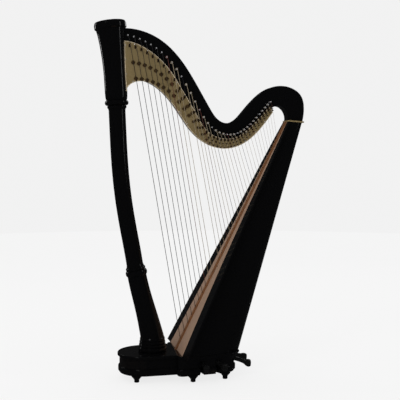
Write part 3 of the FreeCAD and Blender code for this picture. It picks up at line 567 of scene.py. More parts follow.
@dataclass(frozen=True)
class Metal:
    """Brushed, turned or cast metal.

    Args:
        name: the material's name.
        colour: its clean colour.
        tarnish: the colour of its duller patches.
        roughness: of the clean surface.
        metallic: below 1 where clear lacquer dulls the metal.
        brushing: scale of the brush lines along X, Y and Z.
    """

    name: str
    colour: tuple
    tarnish: tuple
    roughness: float = 0.3
    metallic: float = 1.0
    brushing: tuple = (900.0, 900.0, 40.0)

    def build(self) -> bpy.types.Material:
        """Makes the material."""
        material, n, surface, where = blank(self.name)
        marks = use_group(n, HANDLING, where, Cloud_Scale=14.0, Scratch_Scale=240.0, Amount=1.0)
        worn = use_group(n, WEAR, where, Low=0.54, High=0.66, Break_Up=120.0)
        lines = stretched_noise(n, where, self.brushing, 3.0)
        dull = n.math("MULTIPLY", marks.outputs["Clouds"], 0.55)
        colour = n.mix(dull, self.colour, self.tarnish)
        bright = tuple(min(1.0, c * 1.12) for c in self.colour[:3]) + (1.0,)
        colour = n.mix(n.math("MULTIPLY", worn.outputs["Mask"], 0.6), colour, bright)
        n.join(colour, surface.inputs["Base Color"])
        surface.inputs["Metallic"].default_value = self.metallic
        rough = n.math("ADD", n.math("MULTIPLY", lines, 0.16), self.roughness - 0.08)
        rough = n.math("ADD", rough, n.math("MULTIPLY", dull, 0.14))
        n.join(rough, surface.inputs["Roughness"])
        bumped(n, surface, lines, 0.00003, 0.5)
        return material


@dataclass(frozen=True)
class Wood:
    """Clear-finished wood with straight grain.

    Args:
        name: the material's name.
        light: colour between the annual lines.
        dark: colour of the lines.
        lines: lines per metre, times two pi.
        roughness: of the finish.
        contrast: how strongly the lines show.
    """

    name: str
    light: tuple
    dark: tuple
    lines: float
    roughness: float = 0.34
    contrast: float = 0.6

    def build(self) -> bpy.types.Material:
        """Makes the material."""
        material, n, surface, where = blank(self.name)
        along = n.add("Mapping", {"Rotation": (0.0, math.radians(-BOARD_LEAN), 0.0)})
        n.join(where, along.inputs["Vector"])
        grain = use_group(n, GRAIN, along.outputs[0], Lines=self.lines, Waver=2.5,
                          Fibres=1500.0)
        amount = n.math("MULTIPLY", grain.outputs["Lines"], self.contrast)
        fibre = n.math("MULTIPLY", n.ramp(grain.outputs["Fibres"], 0.35, 0.7), 0.25)
        colour = n.mix(n.math("ADD", amount, fibre), self.light, self.dark)
        shade = tuple(c * 0.82 for c in self.light[:3]) + (1.0,)
        colour = n.mix(n.ramp(grain.outputs["Blotches"], 0.4, 0.75, 0.0, 0.45), colour, shade)
        n.join(colour, surface.inputs["Base Color"])
        n.join(n.ramp(grain.outputs["Fibres"], 0.3, 0.7, self.roughness - 0.06,
                      self.roughness + 0.08), surface.inputs["Roughness"])
        surface.inputs["Specular IOR Level"].default_value = 0.35
        bumped(n, surface, grain.outputs["Fibres"], 0.00005, 0.5)
        return material


@dataclass(frozen=True)
class StringCoat:
    """Gut, nylon or wound wire, with the winding's ridges along its length.

    Args:
        name: the material's name.
        colour: main colour.
        second: colour of the variation along the string.
        metallic: 1 for wire.
        roughness: of its surface.
        ridges: windings per metre, times two pi, or 0 for a plain string.
    """

    name: str
    colour: tuple
    second: tuple
    metallic: float = 0.0
    roughness: float = 0.35
    ridges: float = 0.0

    def build(self) -> bpy.types.Material:
        """Makes the material."""
        material, n, surface, where = blank(self.name)
        cloud = stretched_noise(n, where, (60.0, 60.0, 25.0), 3.0)
        n.join(n.mix(n.ramp(cloud, 0.35, 0.7), self.colour, self.second),
               surface.inputs["Base Color"])
        surface.inputs["Metallic"].default_value = self.metallic
        n.join(n.ramp(cloud, 0.3, 0.7, self.roughness - 0.06, self.roughness + 0.08),
               surface.inputs["Roughness"])
        if self.ridges:
            split = n.add("SeparateXYZ")
            n.join(where, split.inputs[0])
            wave = n.math("SINE", n.math("MULTIPLY", split.outputs[2], self.ridges))
            bumped(n, surface, wave, 0.0001, 0.8)
        else:
            bumped(n, surface, cloud, 0.00005, 0.3)
        return material


LACQUER = Lacquer("black_lacquer", (0.002, 0.002, 0.0022, 1), (0.03, 0.022, 0.016, 1), 0.08,
                  0.16).build()
ENAMEL = Lacquer("pedal_enamel", (0.004, 0.004, 0.004, 1), (0.05, 0.045, 0.04, 1), 0.22,
                 0.25).build()
BRASS = Metal("plate_brass", (0.46, 0.345, 0.165, 1), (0.27, 0.185, 0.075, 1), 0.34,
              0.7).build()
BRASS_DULL = Metal("disc_brass", (0.15, 0.09, 0.036, 1), (0.08, 0.045, 0.018, 1), 0.3,
                   0.7).build()
# Brass of the plates' rolled edges: lighter and less metallic than the plate brass, a painted
# highlight along the edge.
EDGE_HIGHLIGHT_BRASS = Metal("edge_highlight_brass", (0.86, 0.72, 0.50, 1), (0.66, 0.52, 0.32, 1), 0.22, 0.55).build()
BRASS_DARK = Metal("fitting_brass", (0.055, 0.03, 0.016, 1), (0.03, 0.018, 0.01, 1), 0.24,
                   0.8).build()
STEEL = Metal("polished_steel", (0.78, 0.78, 0.80, 1), (0.45, 0.45, 0.47, 1), 0.2, 0.7).build()
ALUMINIUM = Metal("brace_aluminium", (0.60, 0.61, 0.62, 1), (0.4, 0.4, 0.4, 1), 0.4, 0.7).build()
SPRUCE = Wood("spruce", (0.36, 0.235, 0.165, 1), (0.24, 0.145, 0.092, 1), 2200.0).build()
WALNUT = Wood("walnut", (0.21, 0.088, 0.034, 1), (0.11, 0.042, 0.016, 1), 1700.0).build()
BEECH = Wood("beech", (0.42, 0.26, 0.15, 1), (0.30, 0.17, 0.09, 1), 1400.0).build()
WIRE = StringCoat("wound_wire", (0.028, 0.028, 0.029, 1), (0.05, 0.048, 0.046, 1), 0.6, 0.25,
                  9000.0).build()
GUT = StringCoat("natural_gut", (0.30, 0.245, 0.165, 1), (0.22, 0.175, 0.115, 1)).build()
GUT_RED = StringCoat("red_gut", (0.11, 0.032, 0.022, 1), (0.07, 0.022, 0.016, 1)).build()
GUT_BLACK = StringCoat("black_gut", (0.004, 0.004, 0.006, 1), (0.01, 0.01, 0.014, 1)).build()

NODE_FINISH = {
    "soundboard": SPRUCE, "string_rib": WALNUT, "inner_rib": BEECH,
    "soundbox_braces": ALUMINIUM,
    "action_plate_left": BRASS, "action_plate_right": BRASS, "shoulder_plate": BRASS,
    "base_bolts": BRASS_DARK, "bridge_nuts": BRASS_DARK, "string_discs": BRASS_DARK,
    "action_rods": STEEL, "pedal_pivot": STEEL, "pedal_springs": STEEL, "tuning_pins": STEEL,
    "pedal_cables": STEEL, "strings_wire": WIRE, "strings_gut": GUT,
}
PREFIX_FINISH = {"natural_disc": BRASS_DARK, "sharp_disc": BRASS_DARK, "tuning_pin": STEEL,
                 "pedal_": ENAMEL}


def dress_frame() -> None:
    """Gives every CAD node its finish."""
    for name, node in frame["nodes"].items():
        finish = NODE_FINISH.get(name)
        if finish is None:
            finish = next((m for p, m in PREFIX_FINISH.items() if name.startswith(p)), LACQUER)
        node.data.materials.clear()
        node.data.materials.append(finish)


# ---- strings and action --------------------------------------------------------------------
@dataclass
class StringBand:
    """All the strings, each from its coil on the pin over the nut to the soundboard.

    Args:
        pin_radius: radius of a tuning pin.
        coils: turns round the pin.
        steps: points per turn.
        wire_count: how many of the lowest strings are wire.
        slice: how near its ends a string's end rings lie.
        fullness: how much the winding adds to a string's radius.
    """

    pin_radius: float = 3.6 * MM
    coils: int = 3
    steps: int = 10
    wire_count: int = 7
    slice: float = 4.0 * MM
    fullness: float = 1.2
    ends: list = field(default_factory=list)

    def measure(self) -> None:
        """Reads each string's top, nut, foot and radius from its CAD solid, lowest first."""
        for node in ("strings_wire", "strings_gut"):
            for part in loose_parts(node):
                height = part[:, 2]
                top = part[height > height.max() - self.slice].mean(axis=0)
                foot = part[height < height.min() + self.slice].mean(axis=0)
                way = (foot - top)[[0, 2]] / np.linalg.norm((foot - top)[[0, 2]])
                bend = part[(height < height.max() - self.slice)
                            & (height > height.min() + self.slice)]
                nut = bend.mean(axis=0) if len(bend) else (top + foot) / 2.0
                side = np.array([way[1], 0.0, -way[0]])
                ring = part[height < height.min() + self.slice] - foot
                radius = np.abs(ring @ side).max() * self.fullness
                self.ends.append((top, nut, foot, radius))
        self.ends.sort(key=lambda item: item[0][0])

    def line(self, top: np.ndarray, nut: np.ndarray, foot: np.ndarray,
             radius: float) -> np.ndarray:
        """The centre line: a helix of touching turns round the pin, then over the nut.

        Args:
            top: where it leaves the pin.
            nut: where it bends over the nut.
            foot: its end in the soundboard.
            radius: the string's radius.

        Returns:
            The points of the centre line.
        """
        reach = self.pin_radius + radius
        axis = top - np.array([reach + 0.5 * MM, 0.0, 0.0])
        turn = np.linspace(-2.0 * math.pi * self.coils, 0.0, self.coils * self.steps + 1)
        rise = turn / (2.0 * math.pi) * 2.1 * radius
        helix = np.stack([axis[0] + reach * np.cos(turn), axis[1] + rise,
                          axis[2] + reach * np.sin(turn)], axis=1)
        above = helix[-1] + np.linspace(0.0, 0.96, 5)[1:, None] * (nut - helix[-1])
        below = nut + np.linspace(0.008, 1.0, 12)[:, None] * (foot - nut)
        return np.concatenate([helix, above, below])

    def kind(self, k: int) -> StringKind:
        """What string k is: wire for the lowest, red for C, black for F."""
        if k < self.wire_count:
            return StringKind.WIRE
        return {C_NOTE: StringKind.RED, F_NOTE: StringKind.BLACK}.get(k % NOTES,
                                                                     StringKind.NATURAL)

    def build(self) -> None:
        """Makes one piece per kind of string."""
        self.measure()
        kinds = {kind: [] for kind in StringKind}
        for k, (top, nut, foot, radius) in enumerate(self.ends):
            kinds[self.kind(k)].append(swept(self.line(top, nut, foot, radius), radius))
        coats = {StringKind.WIRE: WIRE, StringKind.RED: GUT_RED, StringKind.BLACK: GUT_BLACK,
                 StringKind.NATURAL: GUT}
        pieces = {kind: make_piece("string_band_" + kind.value, *merged(parts), coats[kind])
                  for kind, parts in kinds.items()}
        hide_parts("strings_wire")
        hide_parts("strings_gut")
        log.info("strings: %d", len(self.ends))


@dataclass
class PinRow:
    """The tuning pins: a turned shank for the string and a squared end for the key."""

    radius: float = 3.6 * MM
    square: float = 2.3 * MM

    def one(self, part: np.ndarray) -> tuple:
        """One pin's points and faces, from the extent of its CAD solid.

        Args:
            part: the vertices of its CAD solid.

        Returns:
            Points and faces.
        """
        low, high = part.min(axis=0), part.max(axis=0)
        centre = (low + high) / 2.0
        near, far = low[1], high[1]
        r = self.radius
        profile = [(r * 0.55, 0.0), (r * 0.9, 0.35 * MM), (r, 1.2 * MM), (r, 5.0 * MM),
                   (r * 0.9, 5.4 * MM), (r * 0.9, 17.0 * MM), (r, 17.6 * MM),
                   (r, far - near - 15.5 * MM), (r * 0.86, far - near - 14.6 * MM)]
        shank = lathe(profile, np.array([centre[0], near, centre[2]]), np.array([0.0, 1.0, 0.0]),
                      16)
        half, tip = self.square, self.square * 0.82
        start, end = far - 15.2 * MM, far
        rings = [(half, start), (tip, end - 0.6 * MM), (tip * 0.8, end)]
        corners = np.array([(-1, -1), (1, -1), (1, 1), (-1, 1)], float)
        key = np.array([[centre[0] + size * cx, y, centre[2] + size * cz]
                        for size, y in rings for cx, cz in corners])
        faces = [tuple(f[::-1]) for f in grid_faces(3, 4, wrap_columns=True)]
        faces += [(0, 1, 2, 3), (11, 10, 9, 8)]
        return merged([shank, (key, faces)])

    def build(self) -> None:
        """Makes the fixed pins as one piece and each pin that turns as its own."""
        fixed = [self.one(part) for part in loose_parts("tuning_pins")]
        piece = make_piece("pin_row", *merged(fixed), STEEL)
        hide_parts("tuning_pins")
        turning = [n for n in frame["nodes"] if n.startswith("tuning_pin_")]
        for name in turning:
            piece = make_piece("turned_" + name, *self.one(loose_parts(name)[0]), STEEL, name)
            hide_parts(name)
        log.info("tuning pins: %d fixed, %d turning", len(fixed), len(turning))


@dataclass
class Discs:
    """Pronged discs on the left action plate."""

    prong: float = 1.3 * MM
    thickness: float = 2.5 * MM
    strings: list = field(default_factory=list)

    def across(self, centre: np.ndarray) -> np.ndarray:
        """The way across the nearest string, in the plane of the plate.

        Args:
            centre: the disc's centre.

        Returns:
            A unit vector.
        """
        def gap(item: tuple) -> float:
            """Distance from the disc's centre to a string's line, seen from the side."""
            top, foot = item[1][[0, 2]], item[2][[0, 2]]
            way = (foot - top) / np.linalg.norm(foot - top)
            off = centre[[0, 2]] - top
            return abs(off[0] * way[1] - off[1] * way[0])
        _, nut, foot, _ = min(self.strings, key=gap)
        way = (foot - nut)[[0, 2]]
        way /= np.linalg.norm(way)
        return np.array([way[1], 0.0, -way[0]])

    def one(self, part: np.ndarray) -> tuple:
        """One disc's body and its prongs, from its CAD solid.

        Args:
            part: the vertices of its CAD solid.

        Returns:
            The body and the prongs, each as points and faces.
        """
        low, high = part.min(axis=0), part.max(axis=0)
        centre = (low + high) / 2.0
        radius = (high[0] - low[0]) / 2.0
        near = low[1]
        prong_length = 12.0 * MM
        face = near + prong_length
        out = np.array([0.0, -1.0, 0.0])
        back = np.array([centre[0], face + self.thickness, centre[2]])
        t = self.thickness
        body = lathe([(radius * 0.94, 0.0), (radius, 0.3 * MM), (radius, t - 0.5 * MM),
                      (radius - 0.5 * MM, t), (radius * 0.5, t), (radius * 0.46, t - 0.35 * MM),
                      (radius * 0.40, t - 0.35 * MM), (radius * 0.36, t + 0.2 * MM),
                      (radius * 0.1, t + 0.35 * MM)], back, out, 20)
        spindle = lathe([(2.6 * MM, -(high[1] - face - t)), (2.6 * MM, 0.0)], back, out, 10)
        prongs = []
        across = self.across(centre)
        turned = radius - self.prong - 0.6 * MM
        p = self.prong
        for side in (-1.0, 1.0):
            foot = np.array([centre[0], face, centre[2]]) + across * side * turned
            length = prong_length
            prongs.append(lathe([(p * 1.9, -0.2 * MM), (p * 1.9, 0.9 * MM), (p * 1.4, 1.5 * MM),
                                 (p, 2.6 * MM), (p, length - 0.8 * MM),
                                 (p * 0.75, length - 0.2 * MM), (p * 0.3, length)],
                                foot, out, 12))
        return merged([body, spindle]), merged(prongs)

    def build(self) -> None:
        """Makes the fixed discs as one piece and each disc that turns as its own."""
        fixed = [self.one(part) for part in loose_parts("string_discs")]
        bodies, prongs = (merged([pair[k] for pair in fixed]) for k in (0, 1))
        piece = make_piece("disc_rows", *bodies, BRASS_DULL, accents=(prongs, BRASS_DARK))
        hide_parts("string_discs")
        turning = [n for n in frame["nodes"] if "_disc_" in n and n != "string_discs"]
        for name in turning:
            body, prongs = self.one(loose_parts(name)[0])
            piece = make_piece("pronged_" + name, *body, BRASS_DULL, name, (prongs, BRASS_DARK))
            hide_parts(name)
        log.info("discs: %d fixed, %d turning", len(fixed), len(turning))


@dataclass
class BridgeNuts:
    """The grooved brass nuts that the strings bend over, with a shallow round hollow in each
    head.
    """

    radius: float = 3.2 * MM
    flange: float = 3.9 * MM
    groove_from_tip: float = 3.0 * MM
    seat_half: tuple = (4.6 * MM, 9.5 * MM)

    def one(self, part: np.ndarray) -> tuple:
        """One nut's points and faces, from the extent of its CAD solid.

        Args:
            part: the vertices of its CAD solid.

        Returns:
            Points and faces.
        """
        low, high = part.min(axis=0), part.max(axis=0)
        middle = (low + high) / 2.0
        length = high[1] - low[1]
        r, f, g = self.radius, self.flange, length - self.groove_from_tip
        profile = [(f, 0.3 * MM), (f, 1.6 * MM), (r * 0.8, 2.2 * MM), (r * 0.8, g - 3.4 * MM),
                   (f, g - 2.6 * MM), (f, g - 1.6 * MM), (r, g - 0.7 * MM), (r, g + 0.7 * MM),
                   (f, g + 1.5 * MM), (f, length - 0.7 * MM), (f * 0.82, length),
                   (r * 0.45, length), (r * 0.4, length - 0.8 * MM)]
        nut = lathe(profile, np.array([middle[0], high[1], middle[2]]),
                    np.array([0.0, -1.0, 0.0]), 14)
        return merged([nut, self.seat(middle, high[1])])

    def seat(self, middle: np.ndarray, face: float) -> tuple:
        """The slim upright plate under a nut: an oval carried outwards, then rounded over.

        Args:
            middle: the nut's middle.
            face: Y of the plate's face.

        Returns:
            Points and faces.
        """
        turn = np.linspace(0.0, 2.0 * math.pi, 20, endpoint=False)
        oval = np.stack([self.seat_half[0] * np.cos(turn), 0.0 * turn,
                         self.seat_half[1] * np.sin(turn)], axis=1)
        centre = np.array([middle[0], face, middle[2]])
        steps = np.array([(1.0, 0.05), (1.0, -0.9), (0.9, -1.2)])
        rings = (centre + steps[:, :1, None] * oval[None]
                 + np.array([0.0, 1.0, 0.0]) * steps[:, 1:, None] * MM)
        faces = [tuple(f[::-1]) for f in grid_faces(3, 20, wrap_columns=True)]
        faces += [tuple(range(20)), tuple(range(59, 39, -1))]
        return rings.reshape(-1, 3), faces

    def build(self) -> None:
        """Makes all the nuts as one piece."""
        parts = [self.one(part) for part in loose_parts("bridge_nuts")]
        piece = make_piece("grooved_nuts", *merged(parts), BRASS_DARK)
        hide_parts("bridge_nuts")
        log.info("bridge nuts: %d", len(parts))


@dataclass
class PlateTrim:
    """The polished rolled edge of an action plate, its brass painted lighter as the edge's
    highlight, and the slotted screws inside it.
    """

    node: str
    face: float
    out: float
    bead: float = 2.0 * MM
    screw_every: float = 74.0 * MM
    inset: float = 6.0 * MM
    head: float = 2.8 * MM

    def outline(self) -> np.ndarray:
        """The longest closed chain of edges that only one triangle of the face uses.

        Returns:
            The points of the chain, in order.
        """
        unique, corners = node_triangles(self.node)
        flat = corners[(np.abs(unique[corners][:, :, 1] - self.face) < 0.05 * MM).all(axis=1)]
        edges = np.concatenate([flat[:, [0, 1]], flat[:, [1, 2]], flat[:, [2, 0]]])
        known = {(a, b) for a, b in edges.tolist()}
        follow = {a: b for a, b in known if (b, a) not in known}
        chains = []
        while follow:
            start, here = follow.popitem()
            chain = [start]
            while here in follow:
                chain.append(here)
                here = follow.pop(here)
            chains.append(unique[chain])
        return max(chains, key=lambda chain: np.ptp(chain[:, 0]))

    def evened(self, chain: np.ndarray, step: float) -> np.ndarray:
        """Points at even steps along a closed chain, without its first point again.

        Args:
            chain: the points of the closed chain.
            step: about how far apart the new ones are.

        Returns:
            The new points.
        """
        loop = np.concatenate([chain, chain[:1]])
        along = np.concatenate([[0.0], np.cumsum(np.linalg.norm(np.diff(loop, axis=0), axis=1))])
        at = np.linspace(0.0, along[-1], max(8, int(along[-1] / step)) + 1)[:-1]
        return np.stack([np.interp(at, along, loop[:, k]) for k in range(3)], axis=1)

    def inward(self, path: np.ndarray) -> np.ndarray:
        """At each point of a closed path, the way into the plate, square to the path.

        Args:
            path: the points of the closed path.

        Returns:
            A unit vector for each point.
        """
        way = np.roll(path, -1, axis=0) - np.roll(path, 1, axis=0)
        side = np.stack([way[:, 2], np.zeros(len(path)), -way[:, 0]], axis=1)
        side /= np.linalg.norm(side, axis=1)[:, None]
        following = np.roll(path, -1, axis=0)
        area = np.sum(path[:, 0] * following[:, 2] - following[:, 0] * path[:, 2])
        return side if area < 0.0 else -side

    def edge(self, path: np.ndarray) -> tuple:
        """The rolled edge: a half round bead carried along the outline, just inside it.

        Args:
            path: the points of the outline.

        Returns:
            Points and faces.
        """
        turn = np.linspace(0.0, math.pi, 7)
        side = self.inward(path)[:, None]
        up = np.array([0.0, self.out, 0.0])
        ring = (side * (self.bead * (1.0 - np.cos(turn)))[None, :, None]
                + up * (self.bead * 0.5 * np.sin(turn) - 0.05 * MM)[None, :, None])
        points = (path[:, None] + ring).reshape(-1, 3)
        return points, [tuple(f) for f in grid_faces(len(path), 7, True, True)]

    def screws(self, path: np.ndarray) -> list:
        """Domed screw heads with a slot, inset from the outline at even steps.

        Args:
            path: the points of the outline beside which they stand.

        Returns:
            Points and faces of each head and each slot in turn.
        """
        made = []
        up = np.array([0.0, self.out, 0.0])
        for centre in path + self.inward(path) * self.inset:
            head = lathe([(self.head, -0.1 * MM), (self.head, 0.5 * MM),
                          (self.head * 0.7, 1.0 * MM), (self.head * 0.3, 1.2 * MM)],
                         centre, up, 14)
            slot = lathe([(self.head * 0.62, 0.0), (self.head * 0.62, 1.25 * MM)], centre, up, 4)
            slot[0][:] = centre + (slot[0] - centre) * np.array([1.3, 1.0, 0.22])
            made += [head, slot]
        return made

    def build(self) -> None:
        """Makes the edge and the screws as one piece each."""
        chain = self.outline()
        # the edge bead wears the lighter brass, the painted highlight along the plate's outline
        edge = make_piece(self.node + "_edge", *self.edge(self.evened(chain, 2.5 * MM)), EDGE_HIGHLIGHT_BRASS)
        heads = self.screws(self.evened(chain, self.screw_every))
        screws = make_piece(self.node + "_screws", *merged(heads), STEEL)
        log.info("%s: trim and %d screws", self.node, len(heads) // 2)


@dataclass
class Eyelets:
    """The flared eyelets in the rib that the strings pass through."""

    strings: list
    radius: float = 2.9 * MM
    height: float = 1.5 * MM

    def build(self) -> None:
        """Makes one flared ring where each string meets the top of the rib."""
        square = np.array([-math.cos(math.radians(BOARD_LEAN)), 0.0,
                           math.sin(math.radians(BOARD_LEAN))])
        face = (node_points("string_rib") @ square).max()
        rings = []
        for _, nut, foot, _ in self.strings:
            way = foot - nut
            place = nut + way * ((face - nut @ square) / (way @ square))
            r, h = self.radius, self.height
            rings.append(lathe([(r * 1.1, -0.2 * MM), (r, h * 0.6), (r * 0.8, h),
                                (r * 0.55, h), (r * 0.45, h * 0.5)], place, square, 14))
        piece = make_piece("eyelets", *merged(rings), BRASS_DARK)
        log.info("eyelets: %d", len(rings))


@dataclass
class Pedal:
    """One pedal: an eye on the pivot, a slim bar, and a boot outside the wall.

    Args:
        note: the note it changes.
        leaving: where it leaves the wall, X and Y.
        heading: its direction outside the wall, in degrees.
        out: from the wall to the toe.
        drop: how far the toe sits under the pivot.
    """

    note: str
    leaving: tuple
    heading: float
    out: float
    drop: float
    elbow: float = 34.0 * MM
    eye: float = 9.0 * MM
    hole: float = 4.1 * MM
    eye_half: float = 3.6 * MM
    squareness: float = 0.72

    def sections(self, pivot: np.ndarray) -> np.ndarray:
        """Rows of middle X, Y, Z, the across direction X, Y, half width, up and down.

        Args:
            pivot: the hinge's place.

        Returns:
            One row for each section, from the eye to the toe.
        """
        turn = math.radians(self.heading)
        way = np.array([math.cos(turn), math.sin(turn), 0.0])
        leaving = np.array([*self.leaving, pivot[2]])
        elbow = leaving - way * self.elbow
        bar = (elbow - pivot) / np.linalg.norm(elbow - pivot)
        both = (way + bar) / np.linalg.norm(way + bar)
        toe = leaving + way * self.out - np.array([0.0, 0.0, self.drop])
        rows = [(pivot + bar * 5.0 * MM, bar, 3.2, 6.0, 6.0),
                (pivot + bar * 9.0 * MM, bar, 3.2, 6.0, 6.0),
                (elbow - bar * 7.0 * MM, bar, 3.2, 6.0, 6.0),
                (elbow, both, 3.6, 6.0, 6.5),
                (elbow + way * 8.0 * MM, way, 5.8, 7.6, 14.0),
                (leaving, way, 6.2, 8.0, 15.0),
                (toe - way * 26.0 * MM + [0, 0, 0.25 * self.drop], way, 6.8, 8.0, 15.5),
                (toe - way * 17.0 * MM, way, 11.0, 9.5, 20.0),
                (toe - way * 8.0 * MM, way, 15.6, 10.5, 29.0),
                (toe + way * 3.0 * MM, way, 17.0, 10.5, 32.0),
                (toe + way * 12.0 * MM, way, 14.5, 8.5, 31.0),
                (toe + way * 17.0 * MM, way, 8.5, 3.0, 24.0)]
        return np.array([[*middle, -side[1], side[0], a * MM, up * MM, down * MM]
                         for middle, side, a, up, down in rows])

    def loft(self, rows: np.ndarray) -> tuple:
        """Rounded sections: x and z are a signed power of the cosine and sine of a turn.

        Args:
            rows: the sections.

        Returns:
            Points and faces, closed at both ends.
        """
        turn = np.linspace(0.0, 2.0 * math.pi, 12, endpoint=False)
        across, above = (np.sign(wave) * np.abs(wave) ** self.squareness
                         for wave in (np.cos(turn), np.sin(turn)))
        side = np.stack([rows[:, 3], rows[:, 4], np.zeros(len(rows))], axis=1)
        side /= np.linalg.norm(side, axis=1)[:, None]
        tall = np.where(above[None] > 0.0, rows[:, 6:7] * above, rows[:, 7:8] * above)
        points = (rows[:, None, :3] + side[:, None] * (rows[:, 5:6] * across)[..., None]
                  + np.array([0.0, 0.0, 1.0]) * tall[..., None])
        faces = [tuple(f[::-1]) for f in grid_faces(len(rows), 12, wrap_columns=True)]
        last = (len(rows) - 1) * 12
        faces += [tuple(range(12)), tuple(range(last + 11, last - 1, -1))]
        return points.reshape(-1, 3), faces

    def ring(self, pivot: np.ndarray) -> tuple:
        """The eye: a closed profile turned round the pivot.

        Args:
            pivot: the hinge's place.

        Returns:
            Points and faces.
        """
        h, r, b = self.eye_half, self.eye, 0.8 * MM
        profile = np.array([(self.hole, -h + b), (self.hole + b, -h), (r - b, -h), (r, -h + b),
                            (r, h - b), (r - b, h), (self.hole + b, h), (self.hole, h - b)])
        turn = np.linspace(0.0, 2.0 * math.pi, 20, endpoint=False)
        round_it = np.stack([np.cos(turn), 0.0 * turn, np.sin(turn)], axis=1)
        points = (pivot + profile[:, 0, None, None] * round_it[None]
                  + profile[:, 1, None, None] * np.array([0.0, 1.0, 0.0]))
        return points.reshape(-1, 3), [tuple(f) for f in grid_faces(8, 20, True, True)]

    def build(self) -> None:
        """Makes the pedal in place of its CAD node."""
        body = "pedal_" + self.note
        hinge = next(j for j in frame["joints"] if j["child"] == body)
        pivot = np.array(hinge["pos_m"])
        parts = merged([self.loft(self.sections(pivot)), self.ring(pivot)])
        piece = make_piece("boot_" + body, *parts, ENAMEL, body)
        rounding = piece.modifiers.new("rounding", "SUBSURF")
        rounding.levels = rounding.render_levels = 2
        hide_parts(body)
        log.info("%s: out %.0f mm, drop %.0f mm", body, self.out / MM, self.drop / MM)


@dataclass
class PedalSet:
    """The seven pedals, in the order of the player's feet from left to right."""

    middle: float = 9.0 * MM
    rows: tuple = (("d", -25.0, -163.0, -80.0, 48.0, 5.0), ("c", 60.0, -153.0, -62.0, 48.0, 6.0),
                   ("b", 163.0, -66.0, -8.0, 80.0, 23.0), ("e", 165.0, 30.0, 8.0, 90.0, 20.0),
                   ("f", 140.0, 127.0, 45.0, 60.0, 12.0), ("g", 50.0, 154.0, 70.0, 50.0, 8.0),
                   ("a", -60.0, 166.0, 82.0, 48.0, 5.0))

    def build(self) -> None:
        """Makes each pedal."""
        for note, x, y, heading, out, drop in self.rows:
            Pedal(note, (x * MM - self.middle, y * MM), heading, out * MM, drop * MM).build()


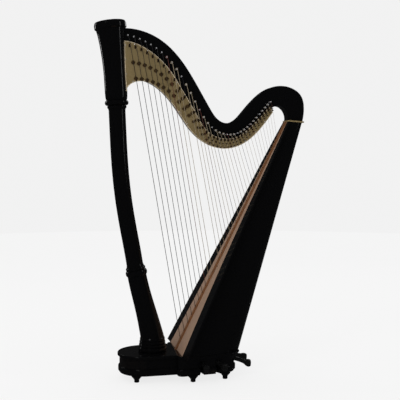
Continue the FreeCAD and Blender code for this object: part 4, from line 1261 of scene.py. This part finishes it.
# ---- studio --------------------------------------------------------------------------------
@dataclass
class Studio:
    """Pale floor, soft lights and the camera."""

    lens: float = 68.28
    azimuth: float = -13.0
    distance: float = 4.0
    height: float = 1.110
    aim: tuple = (-0.0090, 0.0, 0.9282)
    wall: float = 9.0

    def camera(self) -> None:
        """Places the camera on the strings' side, a little to the left of square."""
        data = bpy.data.cameras.new("camera")
        data.lens = self.lens
        data.sensor_width = 36.0
        camera = bpy.data.objects.new("camera", data)
        bpy.context.scene.collection.objects.link(camera)
        turn = math.radians(self.azimuth)
        place = np.array([self.aim[0] + math.sin(turn) * self.distance,
                          self.aim[1] - math.cos(turn) * self.distance, self.height])
        camera.location = place
        way = Vector(self.aim) - Vector(place)
        camera.rotation_mode = "QUATERNION"
        camera.rotation_quaternion = way.to_track_quat("-Z", "Y")
        bpy.context.scene.camera = camera

    def lit(self, name: str, base: float, glow: float) -> bpy.types.Material:
        """A pale matt surface that glows by itself, like an evenly lit studio wall.

        Args:
            name: the material's name.
            base: how much light it returns.
            glow: how much it gives out.

        Returns:
            The material.
        """
        material, n, surface, where = blank(name)
        cloud = stretched_noise(n, where, (2.0, 2.0, 2.0), 2.0)
        n.join(n.mix(cloud, (base, base, base, 1), (base * 1.04, base * 1.04, base * 1.04, 1)),
               surface.inputs["Base Color"])
        surface.inputs["Roughness"].default_value = 0.95
        surface.inputs["Specular IOR Level"].default_value = 0.0
        surface.inputs["Emission Color"].default_value = (1.0, 1.0, 1.0, 1)
        surface.inputs["Emission Strength"].default_value = glow
        return material

    def stand(self, name: str, points: np.ndarray, faces: list,
              material: bpy.types.Material) -> None:
        """Adds a part of the studio, which polished surfaces don't mirror.

        Args:
            name: the object's name.
            points: vertices, one row each.
            faces: its faces.
            material: what it is made of.
        """
        mesh = bpy.data.meshes.new(name)
        mesh.from_pydata(np.asarray(points, float).tolist(), [], faces)
        mesh.materials.append(material)
        obj = bpy.data.objects.new(name, mesh)
        bpy.context.scene.collection.objects.link(obj)
        obj.visible_glossy = False

    def room(self) -> None:
        """A pale floor, and a pale round wall and ceiling far behind it."""
        half = 9.0
        self.stand("floor", [(-half, -half, 0), (half, -half, 0), (half, half, 0),
                             (-half, half, 0)], [(0, 1, 2, 3)], self.lit("studio_floor", 0.12,
                                                                        0.80))
        tilt = np.linspace(-0.3, math.pi / 2.0, 12)[:, None]
        turn = np.linspace(0.0, 2.0 * math.pi, 32, endpoint=False)[None, :]
        wall = self.wall * np.stack([np.cos(tilt) * np.cos(turn), np.cos(tilt) * np.sin(turn),
                                     np.sin(tilt) + 0.0 * turn], axis=-1)
        faces = [tuple(f[::-1].tolist()) for f in grid_faces(12, 32, wrap_columns=True)]
        self.stand("backdrop", wall.reshape(-1, 3), faces, self.lit("studio_wall", 0.0, 0.885))

    def light(self, name: str, place: tuple, aim: tuple, size: tuple, power: float) -> None:
        """One soft rectangular light.

        Args:
            name: the light's name.
            place: where it hangs.
            aim: the point it faces.
            size: its width and height.
            power: in watts.
        """
        data = bpy.data.lights.new(name, "AREA")
        data.shape = "RECTANGLE"
        data.size, data.size_y = size
        data.energy = power
        lamp = bpy.data.objects.new(name, data)
        bpy.context.scene.collection.objects.link(lamp)
        lamp.location = place
        lamp.rotation_mode = "QUATERNION"
        lamp.rotation_quaternion = (Vector(aim) - Vector(place)).to_track_quat("-Z", "Y")

    def build(self) -> None:
        """Sets up the studio."""
        self.camera()
        self.room()
        world = bpy.data.worlds.new("studio")
        world.use_nodes = True
        background = world.node_tree.nodes["Background"]
        background.inputs[0].default_value = (0.025, 0.025, 0.025, 1)
        background.inputs[1].default_value = 1.0
        bpy.context.scene.world = world
        self.light("key", (-2.4, -2.4, 3.6), (0, 0, 0.9), (0.9, 0.9), 26.0)
        self.light("strip", (3.0, -1.4, 2.2), (0, 0, 1.0), (0.25, 1.8), 7.0)
        self.light("back_strip", (-2.6, 2.4, 2.4), (0, 0, 1.0), (0.3, 1.6), 9.0)
        self.light("back_key", (2.2, 3.0, 3.0), (0, 0, 0.9), (1.0, 1.0), 10.0)
        bpy.context.scene.view_settings.view_transform = "Standard"


def main() -> None:
    """Builds the harp's looks and the studio."""
    logging.basicConfig(level=logging.INFO, format="%(name)s: %(message)s")
    Studio().build()
    dress_frame()
    band = StringBand()
    band.build()
    PinRow().build()
    Discs(strings=band.ends).build()
    BridgeNuts().build()
    PlateTrim("action_plate_left", -32.0 * MM, -1.0).build()
    PlateTrim("action_plate_right", 32.0 * MM, 1.0).build()
    Eyelets(strings=band.ends).build()
    PedalSet().build()


if __name__ == "__main__":
    main()
